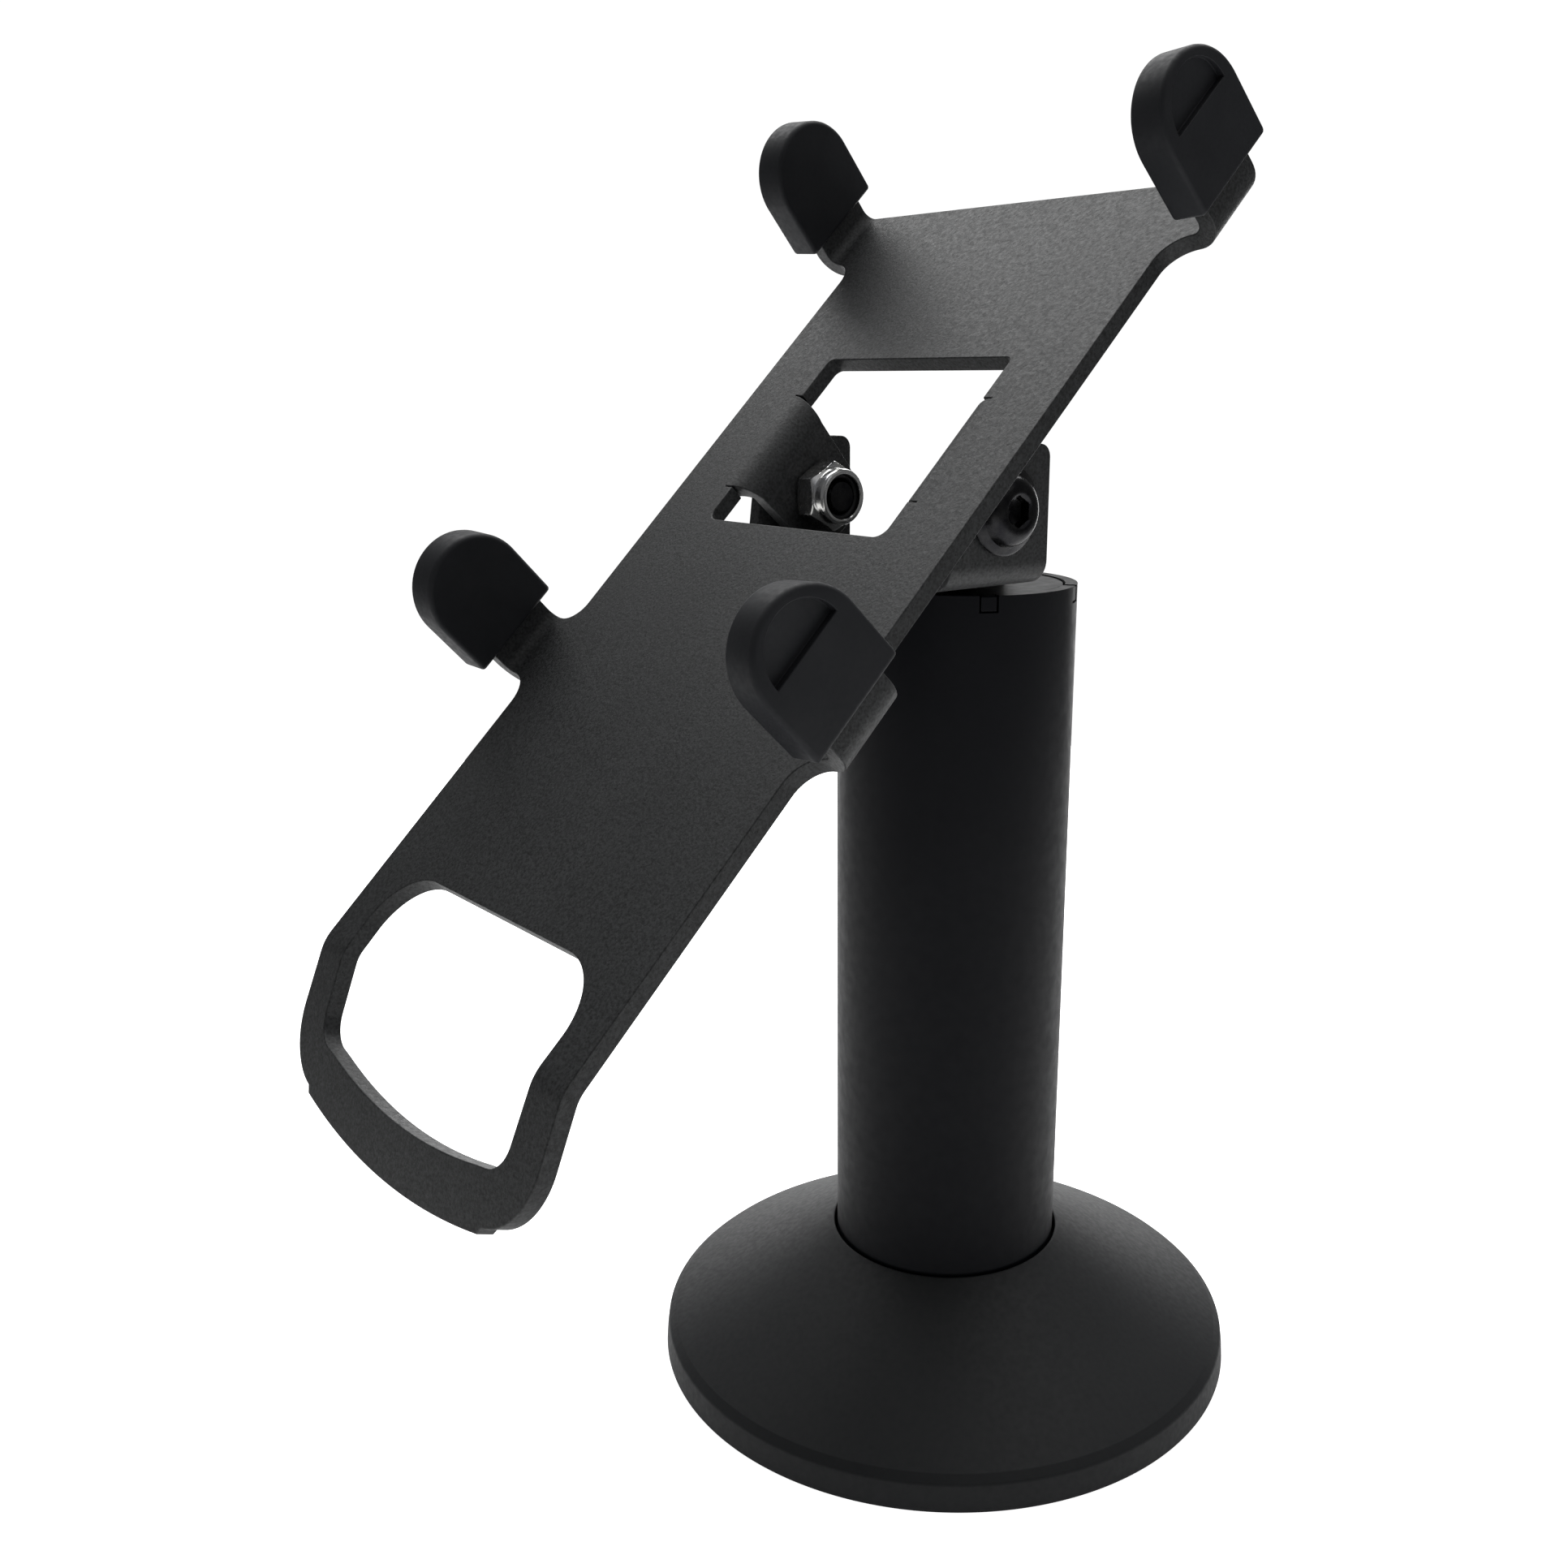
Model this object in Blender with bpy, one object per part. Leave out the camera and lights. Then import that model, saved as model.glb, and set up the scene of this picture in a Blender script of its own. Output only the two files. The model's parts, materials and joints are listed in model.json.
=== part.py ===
"""Tilting pole stand for a card-payment terminal: round foot, pole, swivelling yoke and a tilting sheet cradle."""

import math

import bmesh
import bpy
from mathutils import Matrix, Vector
from mathutils.geometry import delaunay_2d_cdt

MM = 0.001
GAP = 0.3  # clearance between neighbouring pieces

# Foot and pole
PAD_R, PAD_TOP = 48.6, 1.5
FOOT_R, FOOT_BOTTOM, FOOT_TOP = 49.0, 1.8, 5.8
COVER_BOTTOM_R, COVER_SHOULDER_R, COVER_BEVEL_R, COVER_HOLE_R = 52.1, 51.6, 50.3, 20.5
COVER_SHOULDER_Z, COVER_BEVEL_Z, COVER_TOP_Z = 5.2, 6.35, 23.0
COVER_WALL = 1.2
POLE_R, POLE_BORE_R, POLE_BOTTOM, POLE_TOP = 20.0, 18.0, 6.1, 141.4
POLE_RIM_ROUND = 0.5
HUB_R, HUB_TOP, HUB_BORE_R = 17.7, 22.0, 4.35
HUB_BOLT_R, HUB_BOLT_HEAD_R, HUB_BOLT_HEAD_TOP, HUB_BOLT_END = 4.0, 6.2, 3.3, 20.0
HUB_WASHER_R, HUB_WASHER_TOP, COUNTERBORE_R, COUNTERBORE_TOP = 8.8, 4.4, 9.2, 4.7

# Pole top and swivel
TAB_ANGLES_DEG = (30, 150, 210, 330)
TAB_HALF_WIDTH, NOTCH_DEPTH = 1.25, 2.7
TOP_PLATE_R, TOP_PLATE_TOP = 17.6, 141.3
TOP_PLATE_THICK = 2.4
SWIVEL_WASHER_R, SWIVEL_WASHER_Z = 8.0, (141.6, 143.2)

# M6 hardware
SHANK_R, SHANK_HOLE_R = 2.95, 3.3
FLANGE_R, FLANGE_THICK, HEAD_DOME_R, HEAD_HEIGHT, HEAD_FLAT_R = 6.7, 1.1, 5.3, 3.3, 3.0
SOCKET_ACROSS_FLATS, SOCKET_DEPTH = 4.0, 1.8
NUT_ACROSS_FLATS, NUT_HEIGHT, NUT_HEX_HEIGHT, NUT_COLLAR_R = 10.0, 6.0, 3.9, 4.6
INSERT_OUTER_R, INSERT_THICK, NUT_LIP_R = 4.0, 1.3, 3.6

# Tilt axis and the yoke that carries it
AXIS_Y, AXIS_Z = -14.8, 155.05
YOKE_THICK, YOKE_HALF_WIDTH, YOKE_BOTTOM, YOKE_TOP = 2.4, 24.2, 143.5, 164.45
YOKE_FRONT_Y, YOKE_BACK_Y, YOKE_BEND_R = -25.3, -4.7, 3.7
YOKE_FRONT_TOP, YOKE_ROUND_R = 147.5, 9.4
TONGUE_R, TONGUE_ROOT_X = 9.5, 16.5
YOKE_BACK_ROUND = 2.0
TILT_WASHER_R, TILT_WASHER_X = 6.7, (21.0, 21.5)
TILT_HEAD_X, TILT_NUT_X, TILT_SHANK_END_X = 24.5, 17.7, 12.2

# Cradle sheet: across is x, along runs up the plate from where its front meets the pole's axis
SHEET = 2.7
LEAN = math.radians(46.0)
PLATE_ORIGIN_Z = 186.545
BODY_HALF_WIDTH, BODY_TOP = 34.8, 22.2
ARM_HALF_WIDTH, ARM_ALONG = 6.0, (16.2, -79.2)
ARM_FILLET_R, ARM_NOTCH_R, ARM_BEND_START, ARM_BEND_R = 5.0, 3.8, 38.8, 1.8
ARM_LEAN = math.radians(4.5)
STEM_END = 13.0  # distance in front of the plate
WINDOW_TOP, WINDOW_BOTTOM, WINDOW_HALF_WIDTH = -14.0, -49.6, 20.8
RELIEF_DEPTH, RELIEF_HEIGHT = 1.8, 0.15
EAR_ALONG, EAR_ROOT_HALF, EAR_BEND_START, EAR_BEND_R, EAR_END_R = -32.5, 10.1, 22.4, 4.4, 8.0
EAR_SIDE_HALF = 8.6
AXIS_BEHIND = 12.4  # tilt axis behind the plate's front face
LOBE_BEND_ALONG, LOBE_BEND_R, LOBE_ANGLE = -134.8, 8.0, math.radians(24.0)
LOBE_SIDE, LOBE_CORNER_R, LOBE_REACH, LOBE_ARC_R = 11.5, 10.5, 25.6, 121.0
LOW_WINDOW_TOP, LOW_WINDOW_HALF, LOW_WINDOW_FOOT_HALF = -121.2, 28.0, 27.5
LOW_WINDOW_CORNER_R, LOW_WINDOW_FOOT_R, LOW_WINDOW_REACH, LOW_WINDOW_ARC_R = 9.5, 4.5, 17.8, 102.0

# Arm caps: root, round end and thickness measured along and across the arm
CAP_ALONG = (16.3, -79.6)
CAP_HALF_WIDTH, CAP_INNER_X, CAP_THICK = 8.8, 39.1, 6.1
CAP_ROOT, CAP_ROUND_CENTRE = 4.6, 14.3
CAP_EDGE_ROUND, RECESS_R, RECESS_STEP, RECESS_DEPTH = 0.8, 6.2, 0.3, 1.2
RECESS_CENTRE = 15.5

# Colour, roughness and metallic of each finish
FINISHES = {
    "powder_coat": ((0.035, 0.035, 0.037), 0.6, 0.0),
    "black_steel": ((0.016, 0.016, 0.017), 0.5, 0.0),
    "black_plastic": ((0.02, 0.02, 0.021), 0.55, 0.0),
    "cap_plastic": ((0.018, 0.018, 0.019), 0.65, 0.0),
    "zinc_steel": ((0.62, 0.62, 0.6), 0.3, 1.0),
    "dark_nickel": ((0.2, 0.2, 0.21), 0.3, 1.0),
    "nylon": ((0.03, 0.03, 0.035), 0.45, 0.0),
    "rubber": ((0.012, 0.012, 0.012), 0.85, 0.0),
}

ROUND_STEPS = 40
SMALL_STEPS = 24


def finish(name):
    material = bpy.data.materials.get(name)
    if material:
        return material
    colour, roughness, metallic = FINISHES[name]
    material = bpy.data.materials.new(name)
    material.use_nodes = True
    shader = material.node_tree.nodes["Principled BSDF"]
    shader.inputs["Base Color"].default_value = (*colour, 1.0)
    shader.inputs["Roughness"].default_value = roughness
    shader.inputs["Metallic"].default_value = metallic
    return material


def add_mesh(name, bm, finish_name, origin=(0, 0, 0), parent=None, smooth_deg=35):
    """One object from millimetre geometry in world space, with its origin at a given millimetre point."""
    bmesh.ops.recalc_face_normals(bm, faces=bm.faces)
    bmesh.ops.transform(bm, matrix=Matrix.Scale(MM, 4) @ Matrix.Translation(-Vector(origin)), verts=bm.verts)
    mesh = bpy.data.meshes.new(name)
    bm.to_mesh(mesh)
    bm.free()
    mesh.shade_smooth()
    mesh.set_sharp_from_angle(angle=math.radians(smooth_deg))
    mesh.materials.append(finish(finish_name))
    part = bpy.data.objects.new(name, mesh)
    bpy.context.collection.objects.link(part)
    part.location = Vector(origin) * MM
    if parent:
        part.parent = parent
        part.matrix_parent_inverse = Matrix.Translation(-parent.location)
    return part


def arc(cx, cy, radius, start_deg, end_deg, steps):
    """Points along a circular arc, both ends included."""
    angles = [math.radians(start_deg + (end_deg - start_deg) * i / steps) for i in range(steps + 1)]
    return [(cx + radius * math.cos(a), cy + radius * math.sin(a)) for a in angles]


def loop_edges(count):
    return [(i, (i + 1) % count) for i in range(count)]


def inside(point, loop):
    """Even-odd test of a point against a closed outline."""
    x, y = point
    crossings = 0
    for (ax, ay), (bx, by) in zip(loop, loop[1:] + loop[:1]):
        if (ay > y) != (by > y) and x < ax + (y - ay) * (bx - ax) / (by - ay):
            crossings += 1
    return crossings % 2 == 1


def sheet_mesh(outline, holes, creases, place):
    """A closed body from a flat pattern: place(across, along, side) puts its two faces (side 0 and 1) in space."""
    points, edges = [], []
    for loop in [outline, *holes]:
        edges += [(a + len(points), b + len(points)) for a, b in loop_edges(len(loop))]
        points += loop
    for start, end in creases:
        edges.append((len(points), len(points) + 1))
        points += [start, end]
    flat, _, triangles, *_ = delaunay_2d_cdt([Vector(p) for p in points], edges, [], 0, 1e-6)

    def kept(triangle):
        middle = sum((flat[i] for i in triangle), Vector((0, 0))) / 3
        return inside(middle, outline) and not any(inside(middle, hole) for hole in holes)

    triangles = [t for t in triangles if kept(t)]
    bm = bmesh.new()
    used = sorted({i for t in triangles for i in t})
    sides = [{i: bm.verts.new(place(flat[i].x, flat[i].y, side)) for i in used} for side in (0, 1)]
    owner = {}
    for t in triangles:
        bm.faces.new([sides[0][i] for i in t])
        bm.faces.new([sides[1][i] for i in reversed(t)])
        for a, b in zip(t, t[1:] + t[:1]):
            owner[(a, b)] = owner.get((a, b), 0) + 1
    for a, b in owner:
        if (b, a) not in owner:
            bm.faces.new([sides[0][b], sides[0][a], sides[1][a], sides[1][b]])
    return bm


def lathe_mesh(profile, steps, frame=Matrix()):
    """A closed body turned about the frame's z axis from a closed (radius, height) outline."""
    bm = bmesh.new()
    rings = []
    for radius, height in profile:
        if radius < 1e-6:
            rings.append([bm.verts.new(frame @ Vector((0, 0, height)))] * steps)
            continue
        turns = [2 * math.pi * i / steps for i in range(steps)]
        rings.append([
            bm.verts.new(frame @ Vector((radius * math.cos(t), radius * math.sin(t), height))) for t in turns
        ])
    for low, high in zip(rings, rings[1:] + rings[:1]):
        for i in range(steps):
            j = (i + 1) % steps
            corners = list(dict.fromkeys([low[i], low[j], high[j], high[i]]))
            if len(corners) > 2:
                bm.faces.new(corners)
    return bm


def prism_mesh(outline, low, high, frame=Matrix(), holes=()):
    def place(x, y, side):
        return frame @ Vector((x, y, high if side == 0 else low))

    return sheet_mesh(list(outline), [list(h) for h in holes], [], place)


def cutter(name, bm):
    """A hidden wire body that Booleans use."""
    tool = add_mesh(name, bm, "black_steel")
    tool.hide_render = True
    tool.display_type = "WIRE"
    return tool


def cut(part, tool):
    modifier = part.modifiers.new(tool.name, "BOOLEAN")
    modifier.operation = "DIFFERENCE"
    modifier.solver = "EXACT"
    modifier.object = tool


def circle(cx, cy, radius, steps=SMALL_STEPS):
    return arc(cx, cy, radius, 0, 360 - 360 / steps, steps - 1)


def hexagon(across_flats, turn_deg=0.0):
    return arc(0, 0, across_flats / math.sqrt(3), turn_deg, turn_deg + 300, 5)


def ring_profile(inner, outer, low, high):
    return [(inner, low), (outer, low), (outer, high), (inner, high)]


# Foot and pole


def cover_profile():
    """Outside from the floor up, then back down inside."""
    outside = [
        (COVER_BOTTOM_R, GAP),
        (COVER_BOTTOM_R - 0.2, 3.0),
        (COVER_SHOULDER_R, COVER_SHOULDER_Z),
        (COVER_BEVEL_R, COVER_BEVEL_Z),
        (COVER_HOLE_R, COVER_TOP_Z),
    ]
    inside_wall = [
        (COVER_HOLE_R, COVER_TOP_Z - COVER_WALL),
        (COVER_BEVEL_R - 0.4, COVER_BEVEL_Z - COVER_WALL),
        (COVER_SHOULDER_R - COVER_WALL, COVER_SHOULDER_Z - COVER_WALL),
        (COVER_BOTTOM_R - COVER_WALL, GAP),
    ]
    return outside + inside_wall


def pole_mesh():
    """Tube with four notches in its rim, built as a wall whose top follows the notches."""
    profile = [
        (POLE_BORE_R, POLE_BOTTOM),
        (POLE_R, POLE_BOTTOM),
        (POLE_R, POLE_TOP - POLE_RIM_ROUND),
        (POLE_R - POLE_RIM_ROUND * 0.3, POLE_TOP - POLE_RIM_ROUND * 0.3),
        (POLE_R - POLE_RIM_ROUND, POLE_TOP),
        (POLE_BORE_R, POLE_TOP),
    ]
    return lathe_mesh(profile, 64)


def radial_bar_mesh(half_width, inner, outer, low, high, turn_deg):
    outline = [(inner, -half_width), (outer, -half_width), (outer, half_width), (inner, half_width)]
    return prism_mesh(outline, low, high, Matrix.Rotation(math.radians(turn_deg), 4, "Z"))


def top_plate_mesh():
    """Disc with a tab at each notch, outlined as arcs between tabs."""
    reach = POLE_R - 0.15
    half_turn = math.degrees(math.asin(TAB_HALF_WIDTH / TOP_PLATE_R))
    outline = []
    for here, after in zip(TAB_ANGLES_DEG, TAB_ANGLES_DEG[1:] + (TAB_ANGLES_DEG[0] + 360,)):
        turn = math.radians(here)
        for across in (-TAB_HALF_WIDTH, TAB_HALF_WIDTH):
            outline.append((
                reach * math.cos(turn) - across * math.sin(turn),
                reach * math.sin(turn) + across * math.cos(turn),
            ))
        outline += arc(0, 0, TOP_PLATE_R, here + half_turn, after - half_turn, 12)
    return prism_mesh(outline, TOP_PLATE_TOP - TOP_PLATE_THICK, TOP_PLATE_TOP, holes=[circle(0, 0, SHANK_HOLE_R)])


def build_foot():
    pad = [(0, 0), (PAD_R, 0), (PAD_R, PAD_TOP), (0, PAD_TOP)]
    add_mesh("base_pad", lathe_mesh(pad, ROUND_STEPS), "rubber")
    plate = [
        (HUB_BOLT_R + GAP, COUNTERBORE_TOP),
        (COUNTERBORE_R, COUNTERBORE_TOP),
        (COUNTERBORE_R, FOOT_BOTTOM),
        (FOOT_R, FOOT_BOTTOM),
        (FOOT_R, FOOT_TOP - 1.0),
        (FOOT_R - 1.0, FOOT_TOP),
        (HUB_BOLT_R + GAP, FOOT_TOP),
    ]
    add_mesh("base_plate", lathe_mesh(plate, ROUND_STEPS), "black_steel")
    add_mesh("base_cover", lathe_mesh(cover_profile(), 72), "black_plastic", smooth_deg=22)
    hub = [
        (HUB_BORE_R, FOOT_TOP + GAP),
        (HUB_R, FOOT_TOP + GAP),
        (HUB_R, HUB_TOP - 1.0),
        (HUB_R - 1.0, HUB_TOP),
        (HUB_BORE_R, HUB_TOP),
    ]
    add_mesh("pole_hub", lathe_mesh(hub, ROUND_STEPS), "black_steel")
    washer = ring_profile(HUB_BOLT_R + GAP, HUB_WASHER_R, HUB_BOLT_HEAD_TOP + GAP, HUB_WASHER_TOP)
    add_mesh("hub_washer", lathe_mesh(washer, SMALL_STEPS), "zinc_steel")
    bolt = [
        (0, FOOT_BOTTOM),
        (HUB_BOLT_HEAD_R, FOOT_BOTTOM),
        (HUB_BOLT_HEAD_R, HUB_BOLT_HEAD_TOP),
        (HUB_BOLT_R, HUB_BOLT_HEAD_TOP),
        (HUB_BOLT_R, HUB_BOLT_END),
        (0, HUB_BOLT_END),
    ]
    add_mesh("hub_bolt", lathe_mesh(bolt, SMALL_STEPS), "zinc_steel")


def build_pole():
    pole = add_mesh("pole_tube", pole_mesh(), "black_steel")
    for turn_deg in TAB_ANGLES_DEG:
        low = POLE_TOP - NOTCH_DEPTH
        bar = radial_bar_mesh(TAB_HALF_WIDTH + GAP, POLE_BORE_R - 2, POLE_R + 2, low, POLE_TOP + 2, turn_deg)
        cut(pole, cutter(f"rim_notch_{turn_deg}", bar))
    add_mesh("pole_top_plate", top_plate_mesh(), "black_steel")


# M6 hardware, each built along the frame's z axis from the seat of its head or face


def bolt_mesh(frame, shank):
    """Flanged button head above z 0, shank below."""
    dome = [
        (HEAD_DOME_R + (HEAD_FLAT_R - HEAD_DOME_R) * (1 - math.cos(a)), FLANGE_THICK + (HEAD_HEIGHT - FLANGE_THICK) * math.sin(a))
        for a in (math.radians(15 * i) for i in range(7))
    ]
    profile = [
        (0, -shank),
        (SHANK_R - 0.5, -shank),
        (SHANK_R, -shank + 0.5),
        (SHANK_R, 0),
        (FLANGE_R - 0.2, 0),
        (FLANGE_R, 0.3),
        (FLANGE_R - 0.3, FLANGE_THICK * 0.8),
        *dome,
        (0, HEAD_HEIGHT),
    ]
    return lathe_mesh(profile, SMALL_STEPS, frame)


def add_bolt(name, frame, shank, finish_name, parent=None):
    origin = frame.translation.copy()
    bolt = add_mesh(name, bolt_mesh(frame, shank), finish_name, origin, parent)
    socket = prism_mesh(hexagon(SOCKET_ACROSS_FLATS), HEAD_HEIGHT - SOCKET_DEPTH, HEAD_HEIGHT + 1, frame)
    cut(bolt, cutter(name + "_socket", socket))
    return bolt


def nut_mesh(frame):
    """Hex from z 0 up to a round collar whose lip holds the nylon ring."""
    bm = bmesh.new()
    corners = [Vector((x, y, 0)) for x, y in hexagon(NUT_ACROSS_FLATS)]
    steps = SMALL_STEPS

    def hex_ring(height):
        return [
            bm.verts.new(frame @ (corners[i // 4].lerp(corners[(i // 4 + 1) % 6], i % 4 / 4) + Vector((0, 0, height))))
            for i in range(steps)
        ]

    def round_ring(radius, height):
        return [
            bm.verts.new(frame @ Vector((
                radius * math.cos(2 * math.pi * i / steps),
                radius * math.sin(2 * math.pi * i / steps),
                height,
            )))
            for i in range(steps)
        ]

    seat = INSERT_THICK + 2 * GAP + 0.5
    rings = [
        round_ring(SHANK_HOLE_R, 0),
        hex_ring(0),
        hex_ring(NUT_HEX_HEIGHT),
        round_ring(NUT_COLLAR_R, NUT_HEX_HEIGHT + 0.3),
        round_ring(NUT_COLLAR_R, NUT_HEIGHT - 0.5),
        round_ring(NUT_COLLAR_R - 0.5, NUT_HEIGHT),
        round_ring(NUT_LIP_R, NUT_HEIGHT),
        round_ring(NUT_LIP_R, NUT_HEIGHT - 0.4),
        round_ring(INSERT_OUTER_R + GAP, NUT_HEIGHT - 0.5),
        round_ring(INSERT_OUTER_R + GAP, NUT_HEIGHT - seat),
        round_ring(SHANK_HOLE_R, NUT_HEIGHT - seat),
    ]
    for low, high in zip(rings, rings[1:] + rings[:1]):
        for i in range(steps):
            j = (i + 1) % steps
            bm.faces.new([low[i], low[j], high[j], high[i]])
    return bm


def add_nut(name, frame, parent=None):
    origin = frame.translation.copy()
    add_mesh(name, nut_mesh(frame), "zinc_steel", origin, parent)
    high = NUT_HEIGHT - 0.5 - GAP
    ring = ring_profile(SHANK_HOLE_R, INSERT_OUTER_R, high - INSERT_THICK, high)
    add_mesh(name.replace("nut", "nut_insert"), lathe_mesh(ring, SMALL_STEPS, frame), "nylon", origin, parent)


def build_swivel():
    washer = ring_profile(SHANK_HOLE_R, SWIVEL_WASHER_R, *SWIVEL_WASHER_Z)
    add_mesh("swivel_washer", lathe_mesh(washer, ROUND_STEPS), "nylon")
    low = YOKE_BOTTOM + YOKE_THICK + GAP
    cone = [(SHANK_HOLE_R, low + 0.5), (7.4, low), (7.4, low + 0.7), (SHANK_HOLE_R, low + 1.2)]
    add_mesh("swivel_spring_washer", lathe_mesh(cone, SMALL_STEPS), "zinc_steel")
    seat = low + 1.2 + GAP
    under_plate = TOP_PLATE_TOP - TOP_PLATE_THICK - GAP
    add_bolt("swivel_bolt", Matrix.Translation((0, 0, seat)), seat - under_plate + NUT_HEIGHT - 0.6, "dark_nickel")
    add_nut("swivel_nut", Matrix.Translation((0, 0, under_plate)) @ Matrix.Rotation(math.pi, 4, "X"))


# Yoke


def yoke_place(across, along, side):
    """Folds the yoke's flat pattern: the ears turn up at both ends."""
    depth = side * YOKE_THICK
    hand = math.copysign(1, across)
    start = YOKE_HALF_WIDTH - YOKE_BEND_R
    neutral = YOKE_BEND_R - YOKE_THICK / 2
    past = abs(across) - start
    if past <= 0:
        return Vector((across, along, YOKE_BOTTOM + depth))
    turn = min(past / neutral, math.pi / 2)
    straight = max(past - neutral * math.pi / 2, 0)
    radius = YOKE_BEND_R - depth
    x = start + radius * math.sin(turn)
    z = YOKE_BOTTOM + YOKE_BEND_R - radius * math.cos(turn) + straight
    return Vector((hand * x, along, z))


def yoke_flat(height):
    """Distance across the flat pattern of a point on an ear at a given height."""
    neutral = YOKE_BEND_R - YOKE_THICK / 2
    return YOKE_HALF_WIDTH - YOKE_BEND_R + neutral * math.pi / 2 + height - (YOKE_BOTTOM + YOKE_BEND_R)


def mirrored(half):
    """A closed outline from its right half, listed from the middle round to the middle."""
    return half + [(-x, y) for x, y in reversed(half) if abs(x) > 1e-9]


def tangent_from(point, centre, radius, hand):
    """Angle in degrees on a circle where a line from a point touches it."""
    dx, dy = point[0] - centre[0], point[1] - centre[1]
    return math.degrees(math.atan2(dy, dx) + hand * math.acos(radius / math.hypot(dx, dy)))


def yoke_outline():
    top, axis = yoke_flat(YOKE_TOP), yoke_flat(AXIS_Z)
    corner = (yoke_flat(YOKE_FRONT_TOP), YOKE_FRONT_Y)
    half = [(0, YOKE_FRONT_Y), corner]
    half += arc(axis, AXIS_Y, YOKE_ROUND_R, tangent_from(corner, (axis, AXIS_Y), YOKE_ROUND_R, 1), 0, 10)
    half += arc(top - YOKE_BACK_ROUND, YOKE_BACK_Y - YOKE_BACK_ROUND, YOKE_BACK_ROUND, 0, 90, 4)
    root = (TONGUE_ROOT_X, YOKE_BACK_Y)
    half.append(root)
    touch = tangent_from(root, (0, 0), TONGUE_R, 1)
    half += arc(0, 0, TONGUE_R, touch, 90, 8)
    return mirrored(half)


def add_yoke(parent):
    axis = yoke_flat(AXIS_Z)
    holes = [circle(axis, AXIS_Y, SHANK_HOLE_R), circle(-axis, AXIS_Y, SHANK_HOLE_R), circle(0, 0, SHANK_HOLE_R)]
    start, steps = YOKE_HALF_WIDTH - YOKE_BEND_R, 6
    width = (YOKE_BEND_R - YOKE_THICK / 2) * math.pi / 2
    creases = []
    for i in range(steps + 1):
        across = start + width * i / steps
        creases += [((hand * across, YOKE_FRONT_Y - 1), (hand * across, YOKE_BACK_Y + 0.5)) for hand in (-1, 1)]
    add_mesh("yoke", sheet_mesh(yoke_outline(), holes, creases, yoke_place), "powder_coat", parent=parent)


def build_tilt_hardware(parent):
    for side, hand in (("left", -1), ("right", 1)):
        outward = Matrix.Rotation(hand * math.pi / 2, 4, "Y")
        turn_in = Matrix.Rotation(-hand * math.pi / 2, 4, "Y")

        def at(x):
            return Matrix.Translation((hand * x, AXIS_Y, AXIS_Z))

        shank = TILT_HEAD_X - TILT_SHANK_END_X
        add_bolt(f"tilt_bolt_{side}", at(TILT_HEAD_X) @ outward, shank, "dark_nickel", parent)
        add_nut(f"tilt_nut_{side}", at(TILT_NUT_X) @ turn_in, parent)
        ring = ring_profile(SHANK_HOLE_R, TILT_WASHER_R, 0, TILT_WASHER_X[1] - TILT_WASHER_X[0])
        frame = at(TILT_WASHER_X[0]) @ outward
        add_mesh(f"tilt_washer_{side}", lathe_mesh(ring, SMALL_STEPS, frame), "nylon", frame.translation, parent)


# Cradle


def plate_point(across, along, forward):
    """World point of a place on the leaning plate, forward of its front face."""
    up, out = (math.sin(LEAN), math.cos(LEAN)), (-math.cos(LEAN), math.sin(LEAN))
    return Vector((across, along * up[0] + forward * out[0], PLATE_ORIGIN_Z + along * up[1] + forward * out[1]))


def in_ear(across, along):
    return abs(across) < EAR_BEND_START and abs(along - EAR_ALONG) < EAR_ROOT_HALF + 1e-6


def cradle_place(across, along, side):
    """Folds the cradle's flat pattern: arms forward, ears and lobe back."""
    depth = side * SHEET
    hand, reach = math.copysign(1, across), abs(across)
    if reach > ARM_BEND_START:
        neutral, past = ARM_BEND_R + SHEET / 2, reach - ARM_BEND_START
        bend = math.pi / 2 + ARM_LEAN
        turn, straight = min(past / neutral, bend), max(past - neutral * bend, 0)
        radius = ARM_BEND_R + depth
        x = ARM_BEND_START + radius * math.sin(turn) + straight * math.cos(bend)
        forward = ARM_BEND_R - radius * math.cos(turn) + straight * math.sin(bend)
        return plate_point(hand * x, along, forward)
    if in_ear(across, along):
        neutral, past = EAR_BEND_R - SHEET / 2, EAR_BEND_START - reach
        turn, straight = min(past / neutral, math.pi / 2), max(past - neutral * math.pi / 2, 0)
        radius = EAR_BEND_R - depth
        x = EAR_BEND_START - radius * math.sin(turn)
        return plate_point(hand * x, along, -EAR_BEND_R + radius * math.cos(turn) - straight)
    past = LOBE_BEND_ALONG - along
    if past > 0:
        turn = min(past / LOBE_BEND_R, LOBE_ANGLE)
        straight = max(past - LOBE_BEND_R * LOBE_ANGLE, 0)
        radius = LOBE_BEND_R - depth
        down = radius * math.sin(turn) + straight * math.cos(turn)
        forward = -LOBE_BEND_R + radius * math.cos(turn) - straight * math.sin(turn)
        return plate_point(across, LOBE_BEND_ALONG - down, forward)
    return plate_point(across, along, -depth)


def stem_flat(forward):
    """Distance across the flat pattern of a point on an arm, forward of the plate."""
    bend = math.pi / 2 + ARM_LEAN
    bend_top = ARM_BEND_R * (1 - math.cos(bend))
    return ARM_BEND_START + (ARM_BEND_R + SHEET / 2) * bend + (forward - bend_top) / math.sin(bend)


def ear_flat(behind):
    """Distance across the flat pattern of a point on an ear, behind the plate's front."""
    return EAR_BEND_START - (EAR_BEND_R - SHEET / 2) * math.pi / 2 - (behind - EAR_BEND_R)


def fillet(x, y, radius, start_deg, end_deg):
    return arc(x, y, radius, start_deg, end_deg, 6)


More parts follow.
